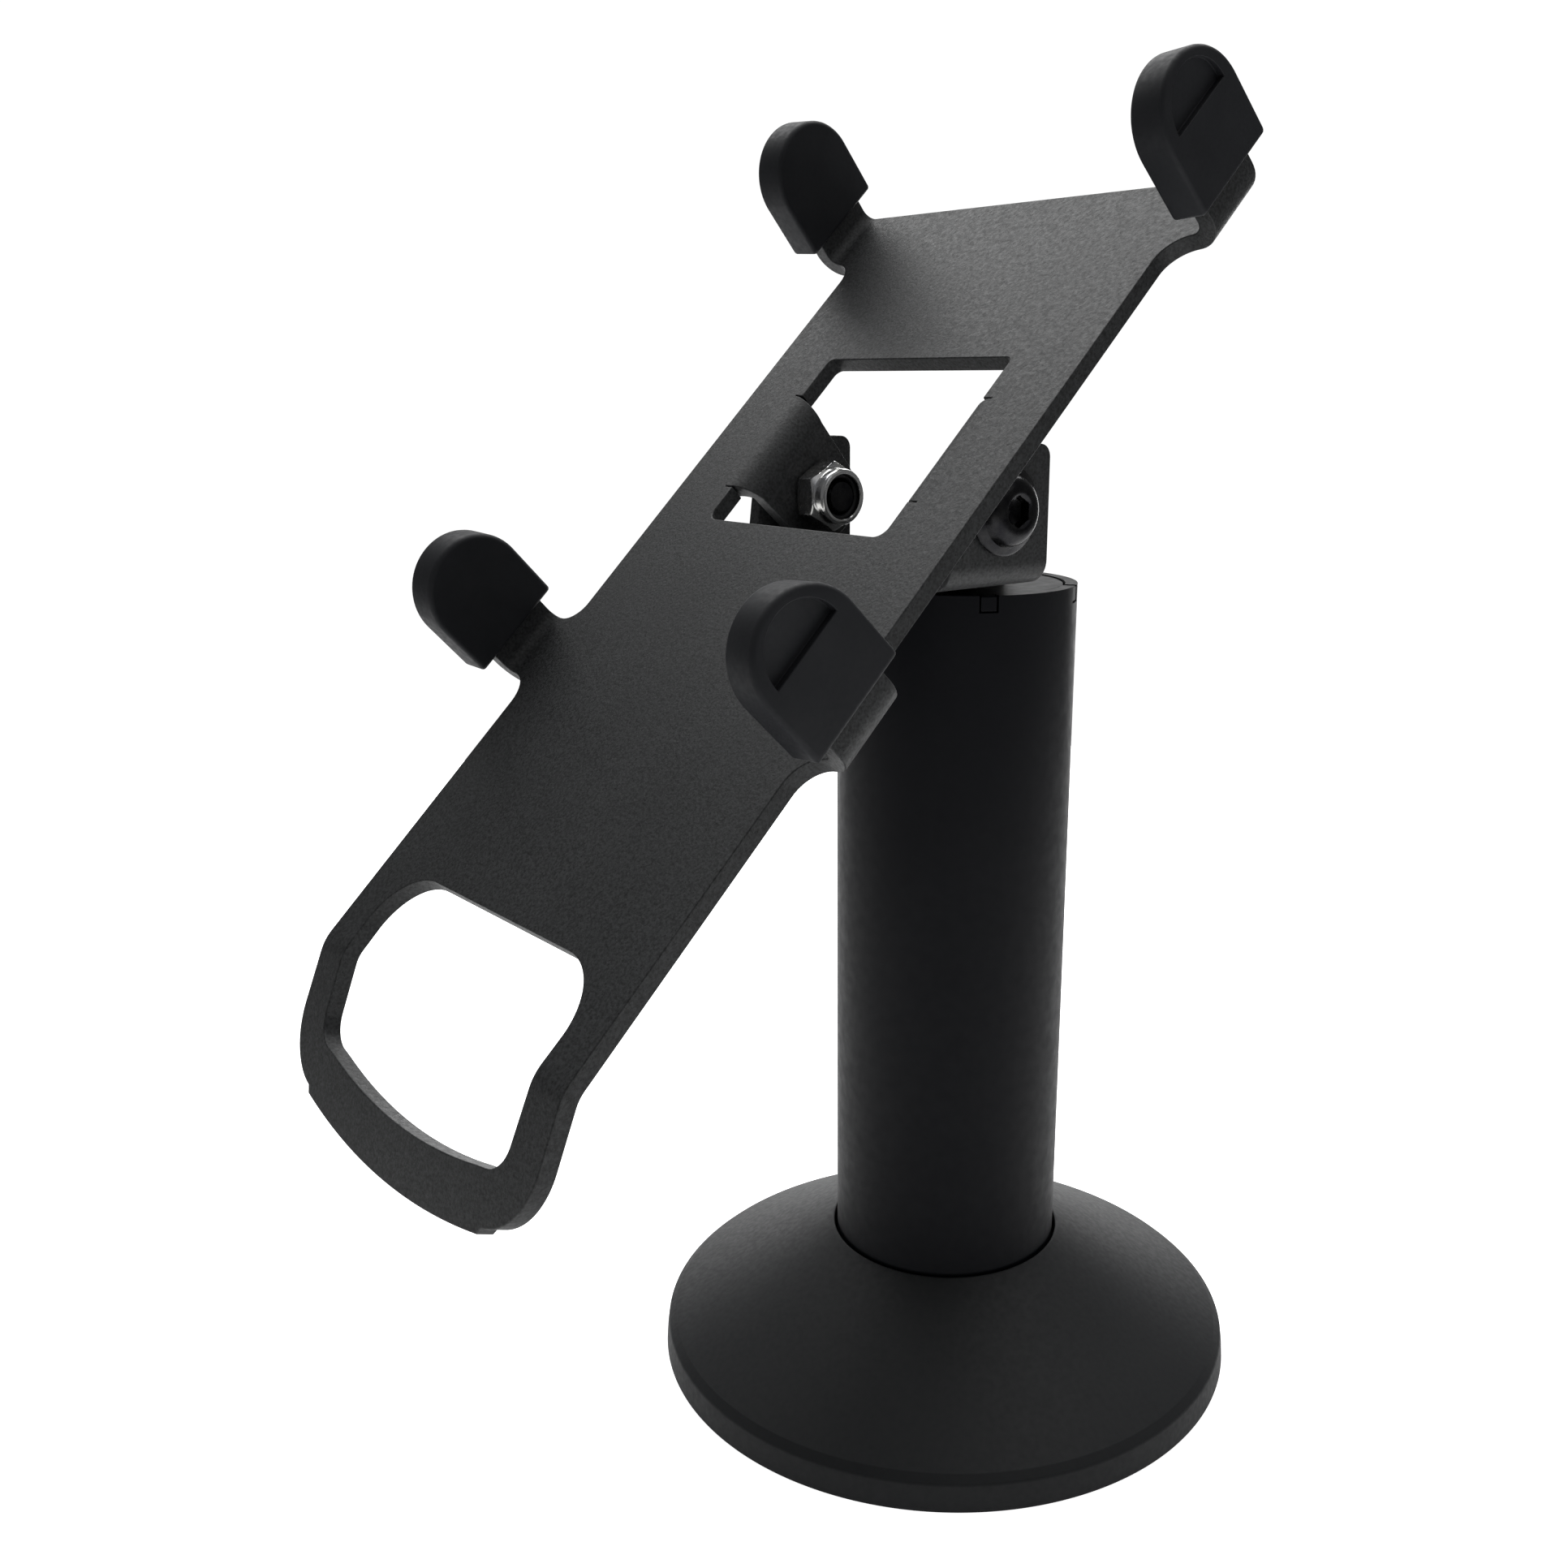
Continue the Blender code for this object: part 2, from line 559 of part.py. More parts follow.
def arm_end(centre):
    """Right-hand arm from its lower to its upper corner, ends slightly rounded."""
    low, high, tip = centre - ARM_HALF_WIDTH, centre + ARM_HALF_WIDTH, stem_flat(STEM_END)
    return arc(tip - 1.5, low + 1.5, 1.5, -90, 0, 3) + arc(tip - 1.5, high - 1.5, 1.5, 0, 90, 3)


def cradle_outline():
    """Right half from the lobe's foot, up the side, to the middle of the top edge."""
    foot = LOBE_BEND_ALONG - LOBE_REACH
    centre = foot + LOBE_ARC_R
    join = BODY_HALF_WIDTH - LOBE_CORNER_R
    sweep = math.degrees(math.asin((join + 1.5) / LOBE_ARC_R))
    half = arc(0, centre, LOBE_ARC_R, -90, -90 + sweep, 8)
    corner_y = LOBE_BEND_ALONG - LOBE_SIDE
    half += arc(join, corner_y, LOBE_CORNER_R, -78, 0, 8)
    root = BODY_HALF_WIDTH + ARM_FILLET_R
    low, high = ARM_ALONG[1] - ARM_HALF_WIDTH, ARM_ALONG[1] + ARM_HALF_WIDTH
    half += fillet(root, low - ARM_FILLET_R, ARM_FILLET_R, 180, 90)
    half += arm_end(ARM_ALONG[1])
    half += fillet(BODY_HALF_WIDTH + ARM_NOTCH_R, high + ARM_NOTCH_R, ARM_NOTCH_R, 270, 180)
    half += fillet(root, ARM_ALONG[0] - ARM_HALF_WIDTH - ARM_FILLET_R, ARM_FILLET_R, 180, 90)
    half += arm_end(ARM_ALONG[0])
    half.append((0, BODY_TOP))
    return mirrored(half)


def ear_window():
    """Right half of the upper window, top to bottom, round the ear that folds back out of it."""
    top, low = EAR_ALONG + EAR_ROOT_HALF, EAR_ALONG - EAR_ROOT_HALF
    flare, axis = ear_flat(EAR_BEND_R), ear_flat(AXIS_BEHIND)
    notch = WINDOW_HALF_WIDTH + RELIEF_DEPTH
    shoulder = (flare, EAR_ALONG + EAR_SIDE_HALF)
    touch = tangent_from(shoulder, (axis, EAR_ALONG), EAR_END_R, 1)
    half = [(0, WINDOW_TOP)]
    half += arc(WINDOW_HALF_WIDTH - 1.2, WINDOW_TOP - 1.2, 1.2, 90, 0, 3)
    half += [(WINDOW_HALF_WIDTH, top + RELIEF_HEIGHT), (notch, top + RELIEF_HEIGHT), (notch, top)]
    half += [(EAR_BEND_START - 0.5, top), shoulder]
    half += arc(axis, EAR_ALONG, EAR_END_R, touch, 360 - touch, 14)
    half += [(flare, EAR_ALONG - EAR_SIDE_HALF), (EAR_BEND_START - 0.5, low)]
    half += [(notch, low), (notch, low - RELIEF_HEIGHT), (WINDOW_HALF_WIDTH, low - RELIEF_HEIGHT)]
    half += arc(WINDOW_HALF_WIDTH - 2, WINDOW_BOTTOM + 2, 2, 0, -90, 4)
    half.append((0, WINDOW_BOTTOM))
    return mirrored(half)


def low_window():
    """Right half of the lower window, top to bottom."""
    half = [(0, LOW_WINDOW_TOP)]
    corner = LOW_WINDOW_CORNER_R
    half += arc(LOW_WINDOW_HALF - corner, LOW_WINDOW_TOP - corner, corner, 90, 0, 8)
    foot = LOBE_BEND_ALONG - LOW_WINDOW_REACH
    join = LOW_WINDOW_FOOT_HALF - LOW_WINDOW_FOOT_R
    drop = LOW_WINDOW_ARC_R - math.sqrt(LOW_WINDOW_ARC_R**2 - join**2)
    half += arc(join, foot + drop + LOW_WINDOW_FOOT_R, LOW_WINDOW_FOOT_R, 0, -77, 5)
    sweep = math.degrees(math.asin(join / LOW_WINDOW_ARC_R))
    half += arc(0, foot + LOW_WINDOW_ARC_R, LOW_WINDOW_ARC_R, -90 + sweep, -90, 6)[1:]
    return mirrored(half)


def cradle_creases():
    creases = []
    arm_width = (ARM_BEND_R + SHEET / 2) * (math.pi / 2 + ARM_LEAN)
    ear_width = (EAR_BEND_R - SHEET / 2) * math.pi / 2
    for i in range(7):
        for hand in (-1, 1):
            arm = hand * (ARM_BEND_START + arm_width * i / 6)
            for centre in ARM_ALONG:
                creases.append(((arm, centre - ARM_HALF_WIDTH - 0.2), (arm, centre + ARM_HALF_WIDTH + 0.2)))
            ear = hand * (EAR_BEND_START - ear_width * i / 6)
            reach = EAR_ROOT_HALF + 0.4
            creases.append(((ear, EAR_ALONG - reach), (ear, EAR_ALONG + reach)))
    for i in range(6):
        along = LOBE_BEND_ALONG - LOBE_BEND_R * LOBE_ANGLE * i / 5
        creases.append(((-BODY_HALF_WIDTH - 1, along), (BODY_HALF_WIDTH + 1, along)))
    return creases


def add_cradle(parent):
    axis = ear_flat(AXIS_BEHIND)
    holes = [ear_window(), low_window()]
    holes += [circle(hand * axis, EAR_ALONG, SHANK_HOLE_R) for hand in (-1, 1)]
    bm = sheet_mesh(cradle_outline(), holes, cradle_creases(), cradle_place)
    add_mesh("cradle_plate", bm, "powder_coat", parent=parent)


def cap_frame(centre, hand):
    """Cap space: x along the plate, y along the arm from the plate's front, z outwards through the cap."""
    root = plate_point(hand * (CAP_INNER_X + CAP_THICK / 2), centre, CAP_ROOT)
    along = plate_point(0, 1, 0) - plate_point(0, 0, 0)
    ahead = plate_point(0, 0, 1) - plate_point(0, 0, 0)
    across = Vector((hand, 0, 0))
    arm = ahead * math.cos(ARM_LEAN) - across * math.sin(ARM_LEAN)
    outward = across * math.cos(ARM_LEAN) + ahead * math.sin(ARM_LEAN)
    frame = Matrix((along, arm, outward)).transposed().to_4x4()
    frame.translation = root
    return frame


def cap_outline(inset):
    centre, half = CAP_ROUND_CENTRE - CAP_ROOT, CAP_HALF_WIDTH - inset
    return [(-half, inset), (half, inset)] + arc(0, centre, half, 0, 180, 20)


def cap_mesh(frame):
    """Plate with a round end and both rims rounded over."""
    edge = CAP_EDGE_ROUND
    levels = [(0.3 * edge, -CAP_THICK / 2 + 0.3 * edge), (edge, -CAP_THICK / 2)]
    levels = [(0, CAP_THICK / 2 - edge), (0.3 * edge, CAP_THICK / 2 - 0.3 * edge), (edge, CAP_THICK / 2)]
    stack = [(inset, -height) for inset, height in reversed(levels)] + levels
    bm = bmesh.new()
    rings = [[bm.verts.new(frame @ Vector((x, y, height))) for x, y in cap_outline(inset)] for inset, height in stack]
    for low, high in zip(rings, rings[1:]):
        for i, j in loop_edges(len(low)):
            bm.faces.new([low[i], low[j], high[j], high[i]])
    bm.faces.new(rings[-1])
    bm.faces.new(list(reversed(rings[0])))
    return bm


def stem_pocket_mesh(frame, centre, hand):
    """Slot for the arm: the arm's own section with clearance, open at the cap's root."""
    half = ARM_HALF_WIDTH + GAP
    offset = ARM_ALONG[CAP_ALONG.index(centre)] - centre
    inner = plate_point(hand * (ARM_BEND_START + ARM_BEND_R), centre, ARM_BEND_R)
    z = (frame.inverted() @ inner).z
    deep = STEM_END - CAP_ROOT + GAP + 0.4
    outline = [(offset - half, -1), (offset + half, -1), (offset + half, deep), (offset - half, deep)]
    return prism_mesh(outline, z - GAP, z + SHEET + GAP, frame)


def recess_mesh(frame):
    """Half-moon wedge in the outer face, deepest along its straight edge."""
    centre, top = RECESS_CENTRE - CAP_ROOT, CAP_THICK / 2
    bm = bmesh.new()
    outline = arc(0, centre, RECESS_R, 0, 180, 16)

    def floor(y):
        return top - RECESS_STEP - (RECESS_DEPTH - RECESS_STEP) * (1 - (y - centre) / RECESS_R)

    low = [bm.verts.new(frame @ Vector((x, y, floor(y)))) for x, y in outline]
    high = [bm.verts.new(frame @ Vector((x, y, top + 1))) for x, y in outline]
    for i, j in loop_edges(len(outline)):
        bm.faces.new([low[i], low[j], high[j], high[i]])
    bm.faces.new(high)
    bm.faces.new(list(reversed(low)))
    return bm


def build_caps(parent):
    for level, centre in zip(("upper", "lower"), CAP_ALONG):
        for side, hand in (("left", -1), ("right", 1)):
            name = f"arm_cap_{level}_{side}"
            frame = cap_frame(centre, hand)
            cap = add_mesh(name, cap_mesh(frame), "cap_plastic", frame.translation, parent)
            cut(cap, cutter(name + "_pocket", stem_pocket_mesh(frame, centre, hand)))
            cut(cap, cutter(name + "_recess", recess_mesh(frame)))


def add_axis(name, location_mm, parent=None):
    empty = bpy.data.objects.new(name, None)
    bpy.context.collection.objects.link(empty)
    empty.location = Vector(location_mm) * MM
    if parent:
        empty.parent = parent
        empty.matrix_parent_inverse = Matrix.Translation(-parent.location)
    return empty


def main():
    for old in list(bpy.data.objects):
        bpy.data.objects.remove(old, do_unlink=True)
    swivel = add_axis("swivel_axis", (0, 0, YOKE_BOTTOM))
    tilt = add_axis("tilt_axis", (0, AXIS_Y, AXIS_Z), swivel)
    build_foot()
    build_pole()
    build_swivel()
    add_yoke(swivel)
    build_tilt_hardware(swivel)
    add_cradle(tilt)
    build_caps(tilt)


main()
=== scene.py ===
"""Looks for the tilting pole stand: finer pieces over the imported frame, finishes, studio light and camera."""

import json
import math

import bmesh
import bpy
from mathutils import Matrix, Vector
from mathutils.geometry import delaunay_2d_cdt

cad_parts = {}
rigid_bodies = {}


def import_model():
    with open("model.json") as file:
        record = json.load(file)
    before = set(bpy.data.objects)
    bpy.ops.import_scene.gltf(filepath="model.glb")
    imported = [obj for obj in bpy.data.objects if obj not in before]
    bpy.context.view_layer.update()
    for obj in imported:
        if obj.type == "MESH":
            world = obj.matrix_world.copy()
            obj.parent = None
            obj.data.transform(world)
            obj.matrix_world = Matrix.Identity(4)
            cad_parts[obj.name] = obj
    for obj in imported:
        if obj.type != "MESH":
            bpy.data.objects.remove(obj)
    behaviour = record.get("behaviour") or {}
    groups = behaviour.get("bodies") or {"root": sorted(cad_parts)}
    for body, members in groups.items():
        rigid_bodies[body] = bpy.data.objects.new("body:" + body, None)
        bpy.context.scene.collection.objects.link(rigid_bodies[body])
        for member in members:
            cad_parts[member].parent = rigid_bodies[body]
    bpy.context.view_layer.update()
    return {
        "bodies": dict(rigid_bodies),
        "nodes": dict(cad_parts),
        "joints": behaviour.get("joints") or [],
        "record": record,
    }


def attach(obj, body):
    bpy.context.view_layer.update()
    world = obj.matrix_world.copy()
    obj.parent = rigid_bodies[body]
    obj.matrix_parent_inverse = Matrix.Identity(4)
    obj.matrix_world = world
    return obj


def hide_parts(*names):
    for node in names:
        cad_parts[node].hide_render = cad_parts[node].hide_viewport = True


MM = 0.001

# Sizes repeated from the CAD part, in millimetres
GAP = 0.3
COVER_BOTTOM_R, COVER_SHOULDER_R, COVER_BEVEL_R, COVER_HOLE_R = 52.1, 51.6, 50.3, 20.5
COVER_SHOULDER_Z, COVER_BEVEL_Z, COVER_TOP_Z, COVER_WALL = 5.2, 6.35, 23.0, 1.2
POLE_R, POLE_BORE_R, POLE_BOTTOM, POLE_TOP = 20.0, 18.0, 6.1, 141.4
TAB_ANGLES_DEG = (30, 150, 210, 330)
TAB_HALF_WIDTH, NOTCH_DEPTH = 1.25, 2.7
TOP_PLATE_R, TOP_PLATE_TOP, TOP_PLATE_THICK = 17.6, 141.3, 2.4
SWIVEL_WASHER_R, SWIVEL_WASHER_Z = 8.0, (141.6, 143.2)
SPRING_R, SPRING_HEIGHT = 7.4, 1.2
SHANK_R, SHANK_HOLE_R = 2.95, 3.3
FLANGE_R, FLANGE_THICK, HEAD_DOME_R, HEAD_HEIGHT, HEAD_FLAT_R = 6.7, 1.1, 5.3, 3.3, 3.0
SOCKET_ACROSS_FLATS, SOCKET_DEPTH = 4.0, 1.8
NUT_ACROSS_FLATS, NUT_HEIGHT, NUT_HEX_HEIGHT, NUT_COLLAR_R = 10.0, 6.0, 3.9, 4.6
INSERT_OUTER_R, INSERT_THICK, NUT_LIP_R = 4.0, 1.3, 3.6
AXIS_Y, AXIS_Z = -14.8, 155.05
YOKE_THICK, YOKE_HALF_WIDTH, YOKE_BOTTOM, YOKE_TOP = 2.4, 24.2, 143.5, 164.45
YOKE_FRONT_Y, YOKE_BACK_Y, YOKE_BEND_R = -25.3, -4.7, 3.7
YOKE_FRONT_TOP, YOKE_ROUND_R = 147.5, 9.4
TONGUE_R, TONGUE_ROOT_X, YOKE_BACK_ROUND = 9.5, 16.5, 2.0
TILT_WASHER_R, TILT_WASHER_X = 6.7, (21.0, 21.5)
TILT_HEAD_X, TILT_NUT_X, TILT_SHANK_END_X = 24.5, 17.7, 12.2
SHEET, LEAN, PLATE_ORIGIN_Z = 2.7, math.radians(46.0), 186.545
BODY_HALF_WIDTH, BODY_TOP = 34.8, 22.2
ARM_HALF_WIDTH, ARM_ALONG = 6.0, (16.2, -79.2)
ARM_FILLET_R, ARM_NOTCH_R, ARM_BEND_START, ARM_BEND_R = 5.0, 3.8, 38.8, 1.8
ARM_LEAN, STEM_END = math.radians(4.5), 13.0
WINDOW_TOP, WINDOW_BOTTOM, WINDOW_HALF_WIDTH = -14.0, -49.6, 20.8
RELIEF_DEPTH, RELIEF_HEIGHT = 1.8, 0.15
EAR_ALONG, EAR_ROOT_HALF, EAR_BEND_START, EAR_BEND_R = -32.5, 10.1, 22.4, 4.4
EAR_END_R, EAR_SIDE_HALF = 8.0, 8.6
AXIS_BEHIND = 12.4
LOBE_BEND_ALONG, LOBE_BEND_R, LOBE_ANGLE = -134.8, 8.0, math.radians(24.0)
LOBE_SIDE, LOBE_CORNER_R, LOBE_REACH, LOBE_ARC_R = 11.5, 10.5, 25.6, 121.0
LOW_WINDOW_TOP, LOW_WINDOW_HALF, LOW_WINDOW_FOOT_HALF = -121.2, 28.0, 27.5
LOW_WINDOW_CORNER_R, LOW_WINDOW_FOOT_R, LOW_WINDOW_REACH, LOW_WINDOW_ARC_R = 9.5, 4.5, 17.8, 102.0
CAP_ALONG = (16.3, -79.6)
CAP_HALF_WIDTH, CAP_INNER_X, CAP_THICK, CAP_ROOT, CAP_ROUND_CENTRE = 8.8, 39.1, 6.1, 4.6, 14.3
CAP_EDGE_ROUND, RECESS_R, RECESS_STEP, RECESS_DEPTH = 0.8, 6.2, 0.3, 1.2
RECESS_CENTRE = 15.5

# Finer than the part
RIM_ROUND = 0.2  # rounded edge of the coated sheet
BEND_STEPS = 12
ROUND_STEPS = 144
SMALL_STEPS = 96

# Camera: place, aim and lens
CAMERA_MM = (182.98, -180.97, 172.31)
CAMERA_RIGHT = (0.66163, 0.74981, 0.00503)
CAMERA_DOWN = (0.20116, -0.17103, -0.96451)
CAMERA_FORWARD = (-0.72234, 0.63916, -0.26399)
LENS_MM, SENSOR_MM = 35.22, 36.0
CAMERA_SHIFT = (-0.0550, 0.0152)

# Studio: name, place and aim in millimetres, size in metres, power in watts
LIGHTS = (
    ("overhead", (-250, 200, 790), (0, -20, 100), (0.9, 0.9), 8),
    ("behind", (-560, 500, 100), (0, 0, 100), (1.1, 0.35), 3.1),
    ("side", (280, 40, 430), (0, -30, 170), (0.35, 0.35), 0.12),
)
FILL = 0.12
FLOOR_R_M, FLOOR_GLOW, FLOOR_SEEN = 0.5, 0.3, 1.0


# Mesh helpers


def add_piece(name, bm, finish, body, replaced, smooth_deg=30, bevel=0.0):
    """One object from millimetre geometry in the row frame, riding on a body in place of CAD nodes."""
    bmesh.ops.recalc_face_normals(bm, faces=bm.faces)
    bmesh.ops.transform(bm, matrix=Matrix.Scale(MM, 4), verts=bm.verts)
    mesh = bpy.data.meshes.new(name)
    bm.to_mesh(mesh)
    bm.free()
    mesh.shade_smooth()
    mesh.set_sharp_from_angle(angle=math.radians(smooth_deg))
    mesh.materials.append(finish)
    piece = bpy.data.objects.new(name, mesh)
    bpy.context.scene.collection.objects.link(piece)
    if bevel:
        round_edges(piece, bevel)
    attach(piece, body)
    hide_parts(*replaced)
    return piece


def round_edges(piece, width_mm, segments=3):
    bevel = piece.modifiers.new("rounded_edges", "BEVEL")
    bevel.width = width_mm * MM
    bevel.segments = segments
    bevel.limit_method = "ANGLE"
    bevel.angle_limit = math.radians(35)
    bevel.harden_normals = True


def flatten_normals(piece):
    """Keeps broad flat faces flat beside their rounded rims."""
    weighted = piece.modifiers.new("flat_faces", "WEIGHTED_NORMAL")
    weighted.mode = "FACE_AREA"
    weighted.weight = 100
    weighted.keep_sharp = True


def arc(cx, cy, radius, start_deg, end_deg, steps):
    angles = [math.radians(start_deg + (end_deg - start_deg) * i / steps) for i in range(steps + 1)]
    return [(cx + radius * math.cos(a), cy + radius * math.sin(a)) for a in angles]


def circle(cx, cy, radius, steps=48):
    return arc(cx, cy, radius, 0, 360 - 360 / steps, steps - 1)


def mirrored(half):
    return half + [(-x, y) for x, y in reversed(half) if abs(x) > 1e-9]


def loop_pairs(count):
    return [(i, (i + 1) % count) for i in range(count)]


def tangent_from(point, centre, radius):
    dx, dy = point[0] - centre[0], point[1] - centre[1]
    return math.degrees(math.atan2(dy, dx) + math.acos(radius / math.hypot(dx, dy)))


def signed_area(loop):
    return sum(a[0] * b[1] - b[0] * a[1] for a, b in zip(loop, loop[1:] + loop[:1])) / 2


def inside(point, loop):
    x, y = point
    crossings = 0
    for (ax, ay), (bx, by) in zip(loop, loop[1:] + loop[:1]):
        if (ay > y) != (by > y) and x < ax + (y - ay) * (bx - ax) / (by - ay):
            crossings += 1
    return crossings % 2 == 1


def split_on_creases(loop, creases):
    """Adds a point wherever the outline crosses a crease: (0 across or 1 along, value, low, high)."""
    made = []
    for p, q in zip(loop, loop[1:] + loop[:1]):
        cuts = []
        for axis, value, low, high in creases:
            if (p[axis] - value) * (q[axis] - value) >= 0:
                continue
            t = (value - p[axis]) / (q[axis] - p[axis])
            at = (p[0] + t * (q[0] - p[0]), p[1] + t * (q[1] - p[1]))
            if low <= at[1 - axis] <= high and 1e-4 < t < 1 - 1e-4:
                cuts.append((t, at))
        made.append(p)
        made += [at for _, at in sorted(cuts)]
    return made


def inset_loop(loop, distance):
    """The outline moved into the sheet by a distance; an outline runs anticlockwise, a hole clockwise."""
    moved = []
    count = len(loop)
    for i in range(count):
        before, here, after = Vector(loop[i - 1]), Vector(loop[i]), Vector(loop[(i + 1) % count])
        first, second = (here - before).normalized(), (after - here).normalized()
        normal = Vector((-first.y - second.y, first.x + second.x))
        if normal.length < 1e-6:
            normal = Vector((-first.y, first.x))
        normal.normalize()
        lean = max(normal.dot(Vector((-first.y, first.x))), 0.5)
        moved.append(here + normal * (distance / lean))
    return moved


def crease_edges(loops, creases):
    """Pairs of points, one on each side of the sheet, that each crease joins."""
    points = [p for loop in loops for p in loop]
    pairs = []
    for axis, value, low, high in creases:
        on = [
            (p[1 - axis], i)
            for i, p in enumerate(points)
            if abs(p[axis] - value) < 1e-3 and low <= p[1 - axis] <= high
        ]
        on.sort()
        for (a, i), (b, j) in zip(on, on[1:]):
            middle = [0, 0]
            middle[axis], middle[1 - axis] = value, (a + b) / 2
            if inside(middle, loops[0]) and not any(inside(middle, hole) for hole in loops[1:]):
                pairs.append((i, j))
    return pairs


def sheet_mesh(outline, holes, creases, thick, place):
    """Folded sheet with rounded rims: place(across, along, depth) puts a flat point in space."""
    loops = [outline if signed_area(outline) > 0 else outline[::-1]]
    loops += [hole if signed_area(hole) < 0 else hole[::-1] for hole in holes]
    loops = [split_on_creases(loop, creases) for loop in loops]
    pairs = crease_edges(loops, creases)
    turns = [math.pi / 2 * i / 3 for i in range(4)]
    rim = [(RIM_ROUND * (1 - math.sin(t)), RIM_ROUND * (1 - math.cos(t))) for t in turns]
    rim += [(inset, thick - depth) for inset, depth in reversed(rim)]
    bm = bmesh.new()
    rings, flats = [], []
    for inset, depth in rim:
        flat = [[Vector(p) for p in loop] if inset < 1e-9 else inset_loop(loop, inset) for loop in loops]
        flats.append(flat)
        rings.append([[bm.verts.new(place(p.x, p.y, depth)) for p in loop] for loop in flat])
    for low, high in zip(rings, rings[1:]):
        for below, above in zip(low, high):
            for i, j in loop_pairs(len(below)):
                bm.faces.new([below[i], below[j], above[j], above[i]])
    flat = flats[0]
    edges, start = list(pairs), 0
    for loop in flat:
        edges += [(a + start, b + start) for a, b in loop_pairs(len(loop))]
        start += len(loop)
    points = [p for loop in flat for p in loop]
    made, _, triangles, sources, *_ = delaunay_2d_cdt(points, edges, [], 0, 1e-7)
    outer = [tuple(p) for p in flat[0]]
    inner = [[tuple(p) for p in loop] for loop in flat[1:]]
    for ring, depth, turned in ((rings[0], 0, False), (rings[-1], thick, True)):
        known = [v for loop in ring for v in loop]
        verts = [
            known[ids[0]] if ids else bm.verts.new(place(p.x, p.y, depth))
            for p, ids in zip(made, sources)
        ]
        for triangle in triangles:
            middle = sum((made[i] for i in triangle), Vector((0, 0))) / 3
            if inside(middle, outer) and not any(inside(middle, hole) for hole in inner):
                corners = [verts[i] for i in triangle]
                bm.faces.new(corners[::-1] if turned else corners)
    return bm


def ring_stack_mesh(rings, closed=False):
    """Joins equal rings of points; open stacks are capped at both ends."""
    bm = bmesh.new()
    made = [[bm.verts.new(p) for p in ring] for ring in rings]
    joins = list(zip(made, made[1:]))
    if closed:
        joins.append((made[-1], made[0]))
    for low, high in joins:
        for i, j in loop_pairs(len(low)):
            bm.faces.new([low[i], low[j], high[j], high[i]])
    if not closed:
        bm.faces.new(made[0][::-1])
        bm.faces.new(made[-1])
    return bm


def lathe_mesh(profile, steps, frame=Matrix(), closed=True):
    """Turned about the frame's z axis from (radius, height) points, as a closed section or capped."""
    turns = [2 * math.pi * i / steps for i in range(steps)]
    rings = [[frame @ Vector((r * math.cos(t), r * math.sin(t), h)) for t in turns] for r, h in profile]
    return ring_stack_mesh(rings, closed)


def rounded(profile, radius, steps=4):
    """A closed outline with every corner rounded, by no more than its shorter side allows."""
    made = []
    count = len(profile)
    for i in range(count):
        before, here, after = (Vector(profile[k % count]) for k in (i - 1, i, i + 1))
        first, second = before - here, after - here
        turn = first.angle(second)
        if turn > math.radians(175):
            made.append(tuple(here))
            continue
        back = min(radius / math.tan(turn / 2), first.length * 0.45, second.length * 0.45)
        start, end = here + first.normalized() * back, here + second.normalized() * back
        for k in range(steps + 1):
            t = k / steps
            made.append(tuple(start * (1 - t) ** 2 + here * 2 * t * (1 - t) + end * t**2))
    return made


def prism_mesh(outline, low, high, frame=Matrix()):
    rings = [[frame @ Vector((x, y, z)) for x, y in outline] for z in (low, high)]
    return ring_stack_mesh(rings)


def hex_radius(turn, across_flats):
    sector = (turn % (math.pi / 3)) - math.pi / 6
    return across_flats / 2 / math.cos(sector)


# Finishes


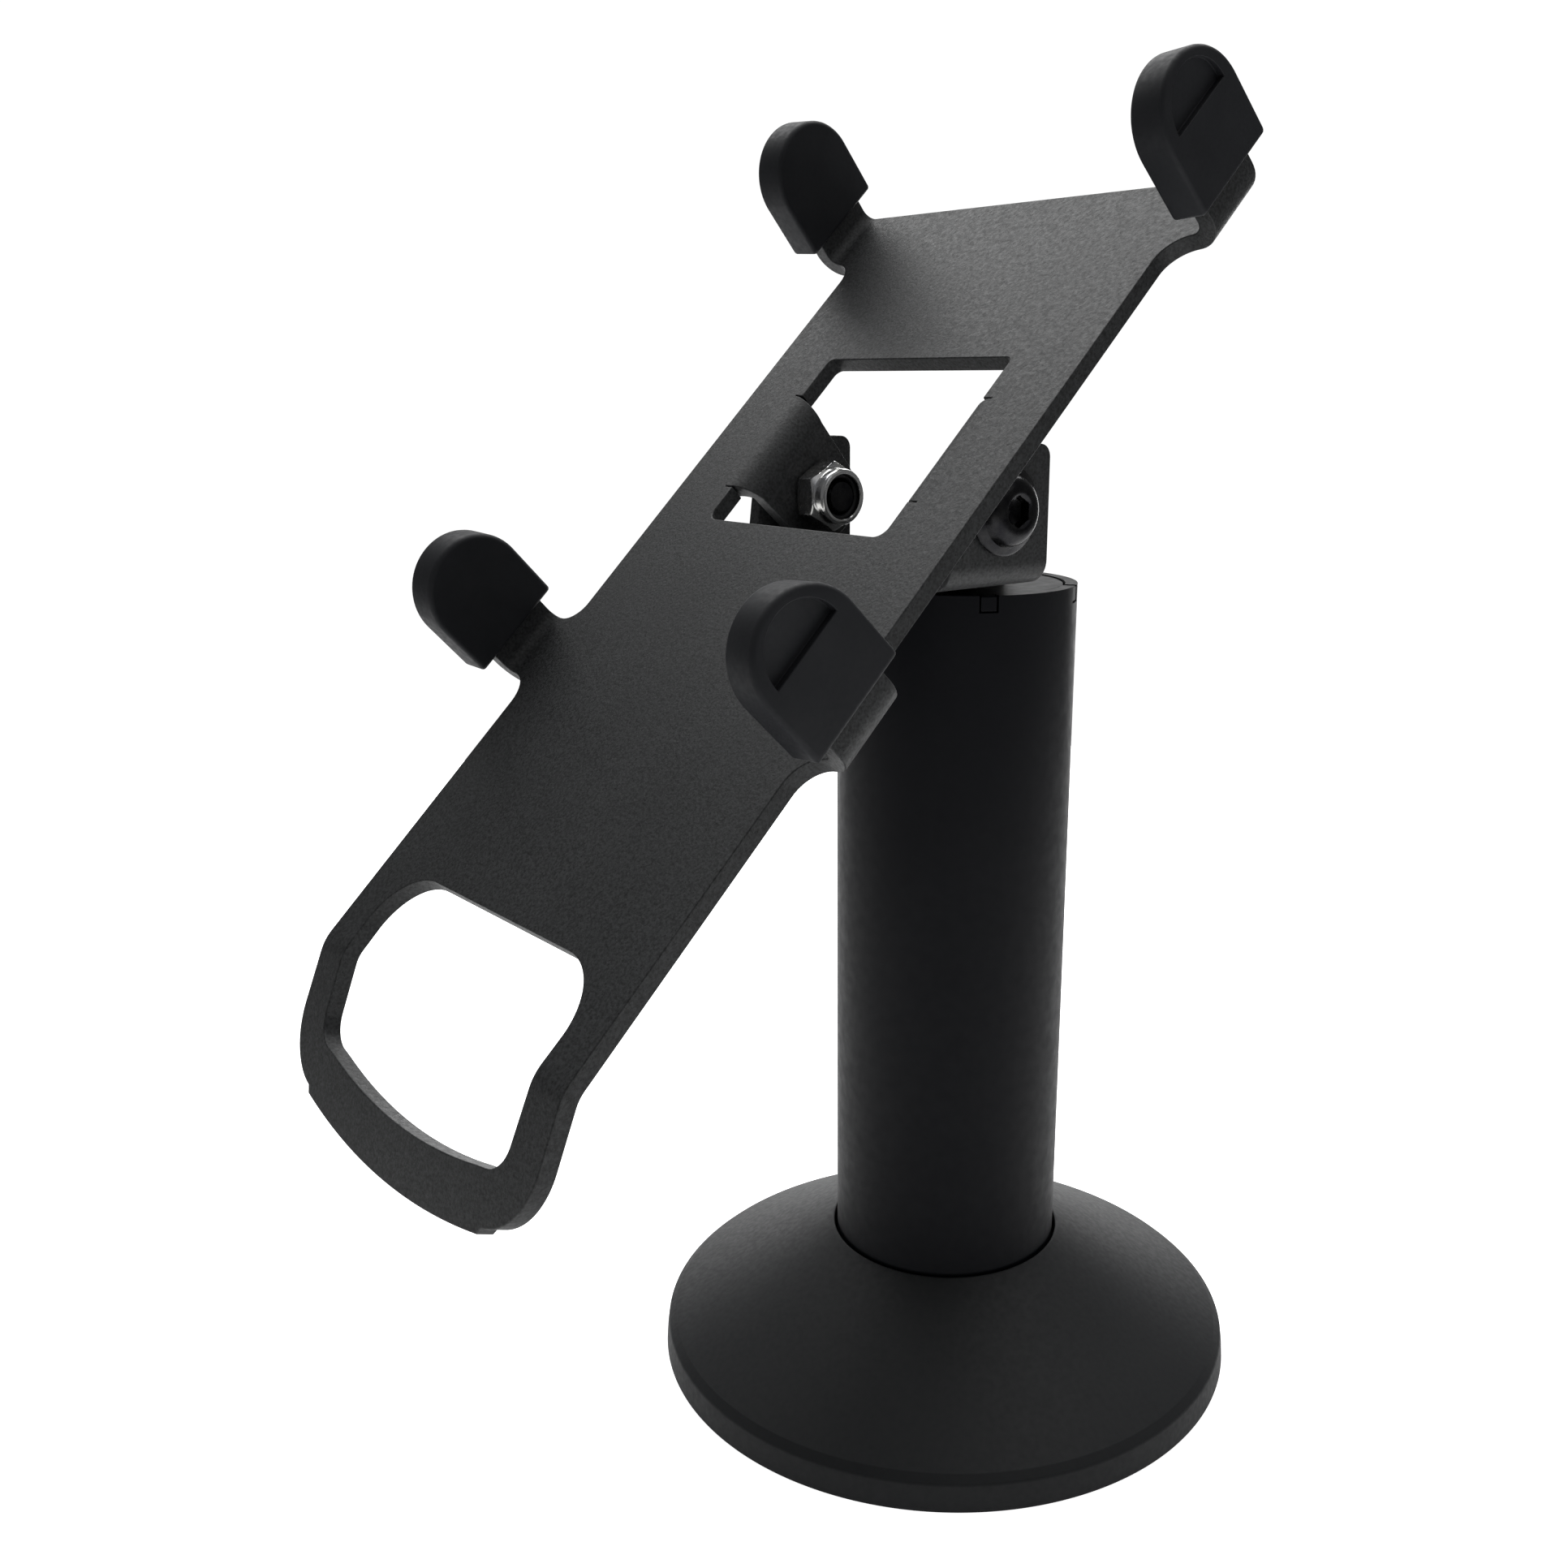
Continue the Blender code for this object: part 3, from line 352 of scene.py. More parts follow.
class Nodes:
    """Short calls for building one material's node tree."""

    def __init__(self, name, colour, roughness, metallic=0.0, specular=0.5):
        self.material = bpy.data.materials.new(name)
        self.material.use_nodes = True
        self.tree = self.material.node_tree
        self.shader = self.tree.nodes["Principled BSDF"]
        self.shader.inputs["Base Color"].default_value = (*colour, 1)
        self.shader.inputs["Roughness"].default_value = roughness
        self.shader.inputs["Metallic"].default_value = metallic
        self.shader.inputs["Specular IOR Level"].default_value = specular
        self.coords = self.tree.nodes.new("ShaderNodeTexCoord").outputs["Object"]

    def noise(self, per_mm, detail=2.0, rough=0.5, stretch=(1, 1, 1)):
        node = self.tree.nodes.new("ShaderNodeTexNoise")
        node.inputs["Scale"].default_value = per_mm / MM
        node.inputs["Detail"].default_value = detail
        node.inputs["Roughness"].default_value = rough
        source = self.coords
        if stretch != (1, 1, 1):
            mapping = self.tree.nodes.new("ShaderNodeMapping")
            mapping.inputs["Scale"].default_value = stretch
            self.tree.links.new(source, mapping.inputs["Vector"])
            source = mapping.outputs["Vector"]
        self.tree.links.new(source, node.inputs["Vector"])
        return node.outputs["Fac"]

    def cells(self, per_mm):
        node = self.tree.nodes.new("ShaderNodeTexVoronoi")
        node.inputs["Scale"].default_value = per_mm / MM
        self.tree.links.new(self.coords, node.inputs["Vector"])
        return node.outputs["Distance"]

    def ramp(self, source, stops):
        """Maps a value through (position, value or colour) stops."""
        node = self.tree.nodes.new("ShaderNodeValToRGB")
        elements = node.color_ramp.elements
        while len(elements) < len(stops):
            elements.new(0.5)
        for element, (position, value) in zip(elements, stops):
            element.position = position
            element.color = (*value, 1) if isinstance(value, tuple) else (value, value, value, 1)
        self.tree.links.new(source, node.inputs["Fac"])
        return node.outputs["Color"]

    def mix(self, kind, a, b, factor=1.0):
        node = self.tree.nodes.new("ShaderNodeMix")
        node.data_type = "RGBA"
        node.blend_type = kind
        if isinstance(factor, float):
            node.inputs["Factor"].default_value = factor
        else:
            self.tree.links.new(factor, node.inputs["Factor"])
        self.tree.links.new(a, node.inputs["A"])
        self.tree.links.new(b, node.inputs["B"])
        return node.outputs["Result"]

    def set(self, socket, source):
        self.tree.links.new(source, self.shader.inputs[socket])

    def bump(self, layers):
        """Stacks (height, strength, distance in mm) layers, finest last."""
        normal = None
        for height, strength, distance in layers:
            node = self.tree.nodes.new("ShaderNodeBump")
            node.inputs["Strength"].default_value = strength
            node.inputs["Distance"].default_value = distance * MM
            self.tree.links.new(height, node.inputs["Height"])
            if normal:
                self.tree.links.new(normal, node.inputs["Normal"])
            normal = node.outputs["Normal"]
        self.tree.links.new(normal, self.shader.inputs["Normal"])


def powder_coat():
    """Fine-textured black powder coat with pin-prick specks."""
    n = Nodes("powder_coat", (0.03, 0.031, 0.031), 0.55, specular=0.4)
    blotch = n.ramp(n.noise(0.05, 4.0), [(0.3, (0.0262, 0.0274, 0.0284)), (0.7, (0.034, 0.0354, 0.0366))])
    grain = n.ramp(n.noise(2.2, 3.0), [(0.34, (0.45, 0.45, 0.45)), (0.62, (1.3, 1.3, 1.3))])
    specks = n.ramp(n.cells(1.3), [(0.08, (0.15, 0.15, 0.15)), (0.2, (1.0, 1.0, 1.0))])
    colour = n.mix("MULTIPLY", n.mix("MULTIPLY", blotch, grain), specks)
    n.set("Base Color", colour)
    n.set("Roughness", n.ramp(n.noise(1.4, 3.0), [(0.3, 0.46), (0.7, 0.62)]))
    n.bump([(n.noise(0.9, 2.0), 0.3, 0.05), (n.noise(2.2, 3.0, 0.6), 0.8, 0.06)])
    return n.material


def smooth_black():
    """Satin black on the pole: faint draw lines and soft mottling."""
    n = Nodes("black_steel", (0.005, 0.005, 0.006), 0.5, specular=0.14)
    colour = n.ramp(n.noise(0.06, 4.0), [(0.3, (0.0044, 0.0048, 0.0068)), (0.7, (0.0060, 0.0065, 0.0086))])
    n.set("Base Color", colour)
    n.set("Roughness", n.ramp(n.noise(0.5, 4.0), [(0.3, 0.44), (0.7, 0.54)]))
    n.bump([(n.noise(0.8, 3.0, 0.5, (1, 1, 0.06)), 0.08, 0.03), (n.noise(5.0, 2.0), 0.18, 0.012)])
    return n.material


def moulded_black():
    """Fine-grained plastic of the foot's cover."""
    n = Nodes("black_plastic", (0.012, 0.0125, 0.0125), 0.58, specular=0.25)
    colour = n.ramp(n.noise(0.04, 3.0), [(0.3, (0.0128, 0.0137, 0.0152)), (0.7, (0.0164, 0.0174, 0.0188))])
    n.set("Base Color", colour)
    n.set("Roughness", n.ramp(n.noise(1.0, 3.0), [(0.3, 0.52), (0.7, 0.64)]))
    n.bump([(n.cells(2.2), 0.12, 0.02), (n.noise(6.0, 3.0), 0.22, 0.012)])
    return n.material


def cap_black():
    """Soft black plastic of the arm caps."""
    n = Nodes("cap_plastic", (0.014, 0.014, 0.015), 0.6, specular=0.22)
    colour = n.ramp(n.noise(0.15, 4.0), [(0.3, (0.0175, 0.0183, 0.0212)), (0.7, (0.0222, 0.0232, 0.0262))])
    n.set("Base Color", colour)
    n.set("Roughness", n.ramp(n.noise(1.2, 3.0), [(0.3, 0.5), (0.7, 0.66)]))
    n.bump([(n.noise(0.3, 2.0), 0.1, 0.05), (n.noise(4.0, 3.0), 0.25, 0.015)])
    return n.material


def zinc():
    """Bright zinc plate with a faint blue-yellow drift and fine scratches."""
    n = Nodes("zinc_steel", (0.7, 0.7, 0.69), 0.2, 1.0)
    n.set("Base Color", n.ramp(n.noise(0.4, 3.0), [(0.3, (0.66, 0.67, 0.7)), (0.7, (0.78, 0.77, 0.73))]))
    n.set("Roughness", n.ramp(n.noise(1.5, 4.0), [(0.3, 0.12), (0.75, 0.3)]))
    n.bump([(n.noise(3.0, 3.0, 0.5, (1, 1, 0.1)), 0.08, 0.02)])
    return n.material


def nickel():
    """Dark nickel on the bolt heads."""
    n = Nodes("dark_nickel", (0.06, 0.06, 0.065), 0.3, 1.0)
    n.set("Base Color", n.ramp(n.noise(0.5, 3.0), [(0.3, (0.018, 0.018, 0.021)), (0.7, (0.04, 0.04, 0.041))]))
    n.set("Roughness", n.ramp(n.noise(1.5, 3.0), [(0.3, 0.24), (0.75, 0.36)]))
    n.bump([(n.noise(2.5, 3.0), 0.08, 0.02)])
    return n.material


def nylon():
    n = Nodes("nylon", (0.012, 0.012, 0.014), 0.4)
    n.set("Base Color", n.ramp(n.noise(0.5, 2.0), [(0.3, (0.01, 0.01, 0.012)), (0.7, (0.016, 0.016, 0.018))]))
    n.set("Roughness", n.ramp(n.noise(1.0, 2.0), [(0.3, 0.34), (0.7, 0.48)]))
    n.bump([(n.noise(4.0, 2.0), 0.1, 0.01)])
    return n.material


def rubber():
    n = Nodes("rubber", (0.01, 0.01, 0.01), 0.85)
    colour = n.ramp(n.noise(0.2, 4.0), [(0.3, (0.008, 0.008, 0.008)), (0.7, (0.014, 0.014, 0.014))])
    n.set("Base Color", colour)
    n.set("Roughness", n.ramp(n.noise(1.0, 3.0), [(0.3, 0.78), (0.7, 0.92)]))
    n.bump([(n.cells(1.0), 0.3, 0.05), (n.noise(4.0, 2.0), 0.2, 0.02)])
    return n.material


FINISHES = {
    "powder_coat": powder_coat,
    "black_steel": smooth_black,
    "black_plastic": moulded_black,
    "cap_plastic": cap_black,
    "zinc_steel": zinc,
    "dark_nickel": nickel,
    "nylon": nylon,
    "rubber": rubber,
}


def paint_frame(frame, finishes):
    """Every carried-over node takes the detailed finish of its slot."""
    slots = {row["node"]: row["material_slot"] for row in frame["record"]["subparts"]}
    for name, node in frame["nodes"].items():
        node.data.materials.clear()
        node.data.materials.append(finishes[slots[name]])


# Foot and pole


def build_foot(finishes):
    outside = [
        (COVER_BOTTOM_R, GAP),
        (COVER_BOTTOM_R - 0.2, 3.0),
        (COVER_SHOULDER_R, COVER_SHOULDER_Z),
        (COVER_BEVEL_R, COVER_BEVEL_Z),
        (COVER_HOLE_R, COVER_TOP_Z),
    ]
    hollow = [
        (COVER_HOLE_R, COVER_TOP_Z - COVER_WALL),
        (COVER_BEVEL_R - 0.4, COVER_BEVEL_Z - COVER_WALL),
        (COVER_SHOULDER_R - COVER_WALL, COVER_SHOULDER_Z - COVER_WALL),
        (COVER_BOTTOM_R - COVER_WALL, GAP),
    ]
    profile = rounded(outside + hollow, 0.9, 6)
    cover = add_piece(
        "foot_cover", lathe_mesh(profile, ROUND_STEPS * 2), finishes["black_plastic"], "stand",
        ["base_cover"], 60,
    )
    flatten_normals(cover)


def cut(piece, name, bm):
    """Takes a cutter body out of a piece."""
    bmesh.ops.recalc_face_normals(bm, faces=bm.faces)
    bmesh.ops.transform(bm, matrix=Matrix.Scale(MM, 4), verts=bm.verts)
    mesh = bpy.data.meshes.new(name)
    bm.to_mesh(mesh)
    bm.free()
    tool = bpy.data.objects.new(name, mesh)
    modifier = piece.modifiers.new(name, "BOOLEAN")
    modifier.operation = "DIFFERENCE"
    modifier.solver = "EXACT"
    modifier.object = tool
    bpy.context.scene.collection.objects.link(tool)
    return tool


def apply_modifiers(piece, tools=()):
    """Bakes a piece's modifiers and drops its cutters."""
    graph = bpy.context.evaluated_depsgraph_get()
    baked = bpy.data.meshes.new_from_object(piece.evaluated_get(graph))
    piece.modifiers.clear()
    piece.data = baked
    for tool in tools:
        bpy.data.objects.remove(tool)


def build_pole(finishes):
    tube = [(POLE_BORE_R, POLE_BOTTOM), (POLE_R, POLE_BOTTOM), (POLE_R, POLE_TOP), (POLE_BORE_R, POLE_TOP)]
    pole = add_piece(
        "pole", lathe_mesh(tube, ROUND_STEPS), finishes["black_steel"], "stand", ["pole_tube"],
    )
    tools = []
    for turn_deg in TAB_ANGLES_DEG:
        half, turn = TAB_HALF_WIDTH + GAP, Matrix.Rotation(math.radians(turn_deg), 4, "Z")
        outline = [(POLE_BORE_R - 2, -half), (POLE_R + 2, -half), (POLE_R + 2, half), (POLE_BORE_R - 2, half)]
        bar = prism_mesh(outline, POLE_TOP - NOTCH_DEPTH, POLE_TOP + 2, turn)
        tools.append(cut(pole, f"rim_notch_{turn_deg}", bar))
    apply_modifiers(pole, tools)
    pole.data.shade_smooth()
    pole.data.set_sharp_from_angle(angle=math.radians(30))
    round_edges(pole, 0.45)

    reach = POLE_R - 0.15
    half_turn = math.degrees(math.asin(TAB_HALF_WIDTH / TOP_PLATE_R))
    outline = []
    for here, after in zip(TAB_ANGLES_DEG, TAB_ANGLES_DEG[1:] + (TAB_ANGLES_DEG[0] + 360,)):
        turn = math.radians(here)
        for across in (-TAB_HALF_WIDTH, TAB_HALF_WIDTH):
            x = reach * math.cos(turn) - across * math.sin(turn)
            y = reach * math.sin(turn) + across * math.cos(turn)
            outline.append((x, y))
        outline += arc(0, 0, TOP_PLATE_R, here + half_turn, after - half_turn, 24)

    def flat_place(x, y, depth):
        return Vector((x, y, TOP_PLATE_TOP - depth))

    top = sheet_mesh(outline, [circle(0, 0, SHANK_HOLE_R)], [], TOP_PLATE_THICK, flat_place)
    plate = add_piece(
        "pole_lid", top, finishes["black_steel"], "stand", ["pole_top_plate"], 50,
    )
    flatten_normals(plate)


# M6 hardware


def hex_blend_ring(frame, radius_at, height, steps=SMALL_STEPS):
    turns = [2 * math.pi * i / steps for i in range(steps)]
    return [frame @ Vector((radius_at(t) * math.cos(t), radius_at(t) * math.sin(t), height)) for t in turns]


def bolt_rings(frame, shank):
    """Threaded shank, flange, dome and hex socket, from the shank's end to the socket's floor."""

    def plain(radius):
        return lambda turn: radius

    def hexagonal(across):
        return lambda turn: hex_radius(turn, across)

    rings = [(plain(SHANK_R - 0.7), -shank), (plain(SHANK_R - 0.55), -shank + 0.05)]
    pitch, depth = 1.0, 0.32
    count = int((shank - 0.6) / pitch)
    for i in range(count):
        low = -shank + 0.5 + i * pitch
        rings += [(plain(SHANK_R - depth), low)]
        rings += [(plain(SHANK_R - 0.02), low + 0.42), (plain(SHANK_R - 0.02), low + 0.58)]
    rings += [(plain(SHANK_R - 0.02), -0.02), (plain(SHANK_R - 0.02), 0.0)]
    rings += [(plain(FLANGE_R - 0.3), 0.0), (plain(FLANGE_R - 0.08), 0.1), (plain(FLANGE_R), 0.35)]
    rings += [(plain(FLANGE_R - 0.1), 0.62), (plain(FLANGE_R - 0.45), FLANGE_THICK * 0.76)]
    rings += [(plain(HEAD_DOME_R + 0.35), FLANGE_THICK * 0.98)]
    rings += [(plain(HEAD_DOME_R + 0.08), FLANGE_THICK * 1.1)]
    for i in range(1, 9):
        a = math.radians(90 * i / 8)
        radius = HEAD_FLAT_R + (HEAD_DOME_R - HEAD_FLAT_R) * math.cos(a)
        rings.append((plain(radius), FLANGE_THICK + (HEAD_HEIGHT - FLANGE_THICK) * math.sin(a)))
    rings += [(plain(2.62), HEAD_HEIGHT), (plain(2.5), HEAD_HEIGHT - 0.06)]
    mouth = SOCKET_ACROSS_FLATS
    rings += [(hexagonal(mouth + 0.12), HEAD_HEIGHT - 0.22), (hexagonal(mouth), HEAD_HEIGHT - 0.32)]
    floor = HEAD_HEIGHT - SOCKET_DEPTH
    rings += [(hexagonal(mouth), floor), (hexagonal(mouth - 0.4), floor - 0.06)]
    rings.append((hexagonal(1.0), floor - 0.25))
    return [hex_blend_ring(frame, radius_at, height) for radius_at, height in rings]


def add_bolt(name, frame, shank, body, node, finishes):
    bm = ring_stack_mesh(bolt_rings(frame, shank))
    bolt = add_piece(name, bm, finishes["dark_nickel"], body, [node], 38)
    flatten_normals(bolt)


def nut_rings(frame):
    """Chamfered hex, round collar, rolled lip over the nylon ring, and the bore."""

    def plain(radius):
        return lambda turn: radius

    def chamfered(height, low, high):
        """Hexagon trimmed by a 30 degree cone at each end."""
        slope = 1 / math.tan(math.radians(30))
        cone = NUT_ACROSS_FLATS / 2 - 0.05 + min(height - low, high - height) * slope
        return lambda turn: min(hex_radius(turn, NUT_ACROSS_FLATS), cone)

    top = NUT_HEX_HEIGHT
    steps = (0.0, 0.06, 0.12, 0.2, 0.28, 0.36, 0.44)
    rings = [(plain(SHANK_HOLE_R - 0.1), 0.35), (plain(SHANK_HOLE_R + 0.25), 0.0)]
    rings += [(chamfered(h, 0.0, math.inf), h) for h in steps]
    rings += [(chamfered(top - h, 0, top), top - h) for h in reversed(steps)]
    rings += [(plain(NUT_COLLAR_R + 0.18), top + 0.05), (plain(NUT_COLLAR_R + 0.03), top + 0.2)]
    rings += [(plain(NUT_COLLAR_R), top + 0.4), (plain(NUT_COLLAR_R), NUT_HEIGHT - 0.6)]
    for i in range(1, 7):
        a = math.radians(90 * i / 6)
        rings.append((plain(NUT_COLLAR_R - 0.55 * (1 - math.cos(a))), NUT_HEIGHT - 0.6 + 0.6 * math.sin(a)))
    rings += [(plain(NUT_LIP_R + 0.12), NUT_HEIGHT - 0.03), (plain(NUT_LIP_R), NUT_HEIGHT - 0.18)]
    rings += [(plain(NUT_LIP_R + 0.1), NUT_HEIGHT - 0.42), (plain(INSERT_OUTER_R + GAP), NUT_HEIGHT - 0.5)]
    seat = NUT_HEIGHT - INSERT_THICK - 2 * GAP - 0.5
    rings += [(plain(INSERT_OUTER_R + GAP), seat), (plain(SHANK_HOLE_R), seat)]
    return [hex_blend_ring(frame, radius_at, height) for radius_at, height in rings]


def add_nut(name, frame, body, node, finishes):
    bm = ring_stack_mesh(nut_rings(frame), closed=True)
    nut = add_piece(name, bm, finishes["zinc_steel"], body, [node], 32)
    flatten_normals(nut)
    high = NUT_HEIGHT - 0.5 - GAP
    profile = [
        (SHANK_R + 0.02, high - INSERT_THICK), (INSERT_OUTER_R, high - INSERT_THICK), (INSERT_OUTER_R, high),
        (SHANK_R + 0.3, high), (SHANK_R + 0.02, high - 0.25),
    ]
    ring = lathe_mesh(rounded(profile, 0.15, 3), SMALL_STEPS, frame)
    add_piece(name + "_ring", ring, finishes["nylon"], body, [node.replace("nut", "nut_insert")])


def add_washer(name, frame, inner, outer, thick, body, node, finish):
    profile = rounded([(inner, 0), (outer, 0), (outer, thick), (inner, thick)], 0.25, 4)
    add_piece(name, lathe_mesh(profile, SMALL_STEPS, frame), finish, body, [node])


def build_swivel(finishes):
    low, high = SWIVEL_WASHER_Z
    frame = Matrix.Translation((0, 0, low))
    add_washer("glide_washer", frame, SHANK_HOLE_R, SWIVEL_WASHER_R, high - low, "stand", "swivel_washer",
               finishes["nylon"])
    seat = YOKE_BOTTOM + YOKE_THICK + GAP
    corners = [
        (SHANK_HOLE_R, seat + 0.5),
        (SPRING_R, seat),
        (SPRING_R, seat + 0.7),
        (SHANK_HOLE_R, seat + SPRING_HEIGHT),
    ]
    cone = rounded(corners, 0.2, 3)
    add_piece("cone_spring", lathe_mesh(cone, SMALL_STEPS), finishes["zinc_steel"], "stand",
              ["swivel_spring_washer"])
    head = seat + SPRING_HEIGHT + GAP
    under_plate = TOP_PLATE_TOP - TOP_PLATE_THICK - GAP
    shank = head - under_plate + NUT_HEIGHT - 0.6
    add_bolt("pole_bolt", Matrix.Translation((0, 0, head)), shank, "stand", "swivel_bolt", finishes)


# Yoke


def yoke_place(across, along, depth):
    hand = math.copysign(1, across)
    start, neutral = YOKE_HALF_WIDTH - YOKE_BEND_R, YOKE_BEND_R - YOKE_THICK / 2
    past = abs(across) - start
    if past <= 0:
        return Vector((across, along, YOKE_BOTTOM + depth))
    turn, straight = min(past / neutral, math.pi / 2), max(past - neutral * math.pi / 2, 0)
    radius = YOKE_BEND_R - depth
    x = start + radius * math.sin(turn)
    return Vector((hand * x, along, YOKE_BOTTOM + YOKE_BEND_R - radius * math.cos(turn) + straight))


def yoke_flat(height):
    start, neutral = YOKE_HALF_WIDTH - YOKE_BEND_R, YOKE_BEND_R - YOKE_THICK / 2
    return start + neutral * math.pi / 2 + height - (YOKE_BOTTOM + YOKE_BEND_R)


def build_yoke(finishes):
    top, axis = yoke_flat(YOKE_TOP), yoke_flat(AXIS_Z)
    corner = (yoke_flat(YOKE_FRONT_TOP), YOKE_FRONT_Y)
    half = [(0, YOKE_FRONT_Y), corner]
    half += arc(axis, AXIS_Y, YOKE_ROUND_R, tangent_from(corner, (axis, AXIS_Y), YOKE_ROUND_R), 0, 24)
    half += arc(top - YOKE_BACK_ROUND, YOKE_BACK_Y - YOKE_BACK_ROUND, YOKE_BACK_ROUND, 0, 90, 8)
    root = (TONGUE_ROOT_X, YOKE_BACK_Y)
    half.append(root)
    half += arc(0, 0, TONGUE_R, tangent_from(root, (0, 0), TONGUE_R), 90, 20)
    holes = [circle(x, y, SHANK_HOLE_R) for x, y in ((axis, AXIS_Y), (-axis, AXIS_Y), (0, 0))]
    width = (YOKE_BEND_R - YOKE_THICK / 2) * math.pi / 2
    creases = []
    for i in range(BEND_STEPS + 1):
        across = YOKE_HALF_WIDTH - YOKE_BEND_R + width * i / BEND_STEPS
        creases += [(0, hand * across, YOKE_FRONT_Y - 1, YOKE_BACK_Y + 1) for hand in (-1, 1)]
    bm = sheet_mesh(mirrored(half), holes, creases, YOKE_THICK, yoke_place)
    yoke = add_piece("bracket", bm, finishes["powder_coat"], "yoke", ["yoke"], 50)
    flatten_normals(yoke)


def build_tilt_hardware(finishes):
    for side, hand in (("left", -1), ("right", 1)):
        outward = Matrix.Rotation(hand * math.pi / 2, 4, "Y")
        turn_in = Matrix.Rotation(-hand * math.pi / 2, 4, "Y")

        def at(x):
            return Matrix.Translation((hand * x, AXIS_Y, AXIS_Z))

        shank = TILT_HEAD_X - TILT_SHANK_END_X
        head = at(TILT_HEAD_X) @ outward
        add_bolt(f"pivot_bolt_{side}", head, shank, "yoke", f"tilt_bolt_{side}", finishes)
        add_nut(f"pivot_nut_{side}", at(TILT_NUT_X) @ turn_in, "yoke", f"tilt_nut_{side}", finishes)
        low, high = TILT_WASHER_X
        add_washer(f"drag_washer_{side}", at(low) @ outward, SHANK_HOLE_R, TILT_WASHER_R, high - low, "yoke",
                   f"tilt_washer_{side}", finishes["nylon"])


# Cradle


def plate_point(across, along, forward):
    y = along * math.sin(LEAN) - forward * math.cos(LEAN)
    z = PLATE_ORIGIN_Z + along * math.cos(LEAN) + forward * math.sin(LEAN)
    return Vector((across, y, z))


def in_ear(across, along):
    return abs(across) < EAR_BEND_START and abs(along - EAR_ALONG) < EAR_ROOT_HALF + 1e-6


def cradle_place(across, along, depth):
    hand, reach = math.copysign(1, across), abs(across)
    if reach > ARM_BEND_START:
        neutral, past = ARM_BEND_R + SHEET / 2, reach - ARM_BEND_START
        bend = math.pi / 2 + ARM_LEAN
        turn, straight = min(past / neutral, bend), max(past - neutral * bend, 0)
        radius = ARM_BEND_R + depth
        x = ARM_BEND_START + radius * math.sin(turn) + straight * math.cos(bend)
        return plate_point(hand * x, along, ARM_BEND_R - radius * math.cos(turn) + straight * math.sin(bend))
    if in_ear(across, along):
        neutral, past = EAR_BEND_R - SHEET / 2, EAR_BEND_START - reach
        turn, straight = min(past / neutral, math.pi / 2), max(past - neutral * math.pi / 2, 0)
        radius = EAR_BEND_R - depth
        x = EAR_BEND_START - radius * math.sin(turn)
        return plate_point(hand * x, along, -EAR_BEND_R + radius * math.cos(turn) - straight)
    past = LOBE_BEND_ALONG - along
    if past > 0:
        turn, straight = min(past / LOBE_BEND_R, LOBE_ANGLE), max(past - LOBE_BEND_R * LOBE_ANGLE, 0)
        radius = LOBE_BEND_R - depth
        down = radius * math.sin(turn) + straight * math.cos(turn)
        forward = -LOBE_BEND_R + radius * math.cos(turn) - straight * math.sin(turn)
        return plate_point(across, LOBE_BEND_ALONG - down, forward)
    return plate_point(across, along, -depth)


def stem_flat(forward):
    bend = math.pi / 2 + ARM_LEAN
    bend_top = ARM_BEND_R * (1 - math.cos(bend))
    return ARM_BEND_START + (ARM_BEND_R + SHEET / 2) * bend + (forward - bend_top) / math.sin(bend)


def ear_flat(behind):
    return EAR_BEND_START - (EAR_BEND_R - SHEET / 2) * math.pi / 2 - (behind - EAR_BEND_R)


def arm_end(centre):
    low, high, tip = centre - ARM_HALF_WIDTH, centre + ARM_HALF_WIDTH, stem_flat(STEM_END)
    return arc(tip - 1.5, low + 1.5, 1.5, -90, 0, 6) + arc(tip - 1.5, high - 1.5, 1.5, 0, 90, 6)


def cradle_outline():
    foot = LOBE_BEND_ALONG - LOBE_REACH
    join = BODY_HALF_WIDTH - LOBE_CORNER_R
    sweep = math.degrees(math.asin((join + 1.5) / LOBE_ARC_R))
    half = arc(0, foot + LOBE_ARC_R, LOBE_ARC_R, -90, -90 + sweep, 16)
    half += arc(join, LOBE_BEND_ALONG - LOBE_SIDE, LOBE_CORNER_R, -78, 0, 20)
    root = BODY_HALF_WIDTH + ARM_FILLET_R
    low, high = ARM_ALONG[1] - ARM_HALF_WIDTH, ARM_ALONG[1] + ARM_HALF_WIDTH
    half += arc(root, low - ARM_FILLET_R, ARM_FILLET_R, 180, 90, 14)
    half += arm_end(ARM_ALONG[1])
    half += arc(BODY_HALF_WIDTH + ARM_NOTCH_R, high + ARM_NOTCH_R, ARM_NOTCH_R, 270, 180, 14)
    half += arc(root, ARM_ALONG[0] - ARM_HALF_WIDTH - ARM_FILLET_R, ARM_FILLET_R, 180, 90, 14)
    half += arm_end(ARM_ALONG[0])
    half.append((0, BODY_TOP))
    return mirrored(half)


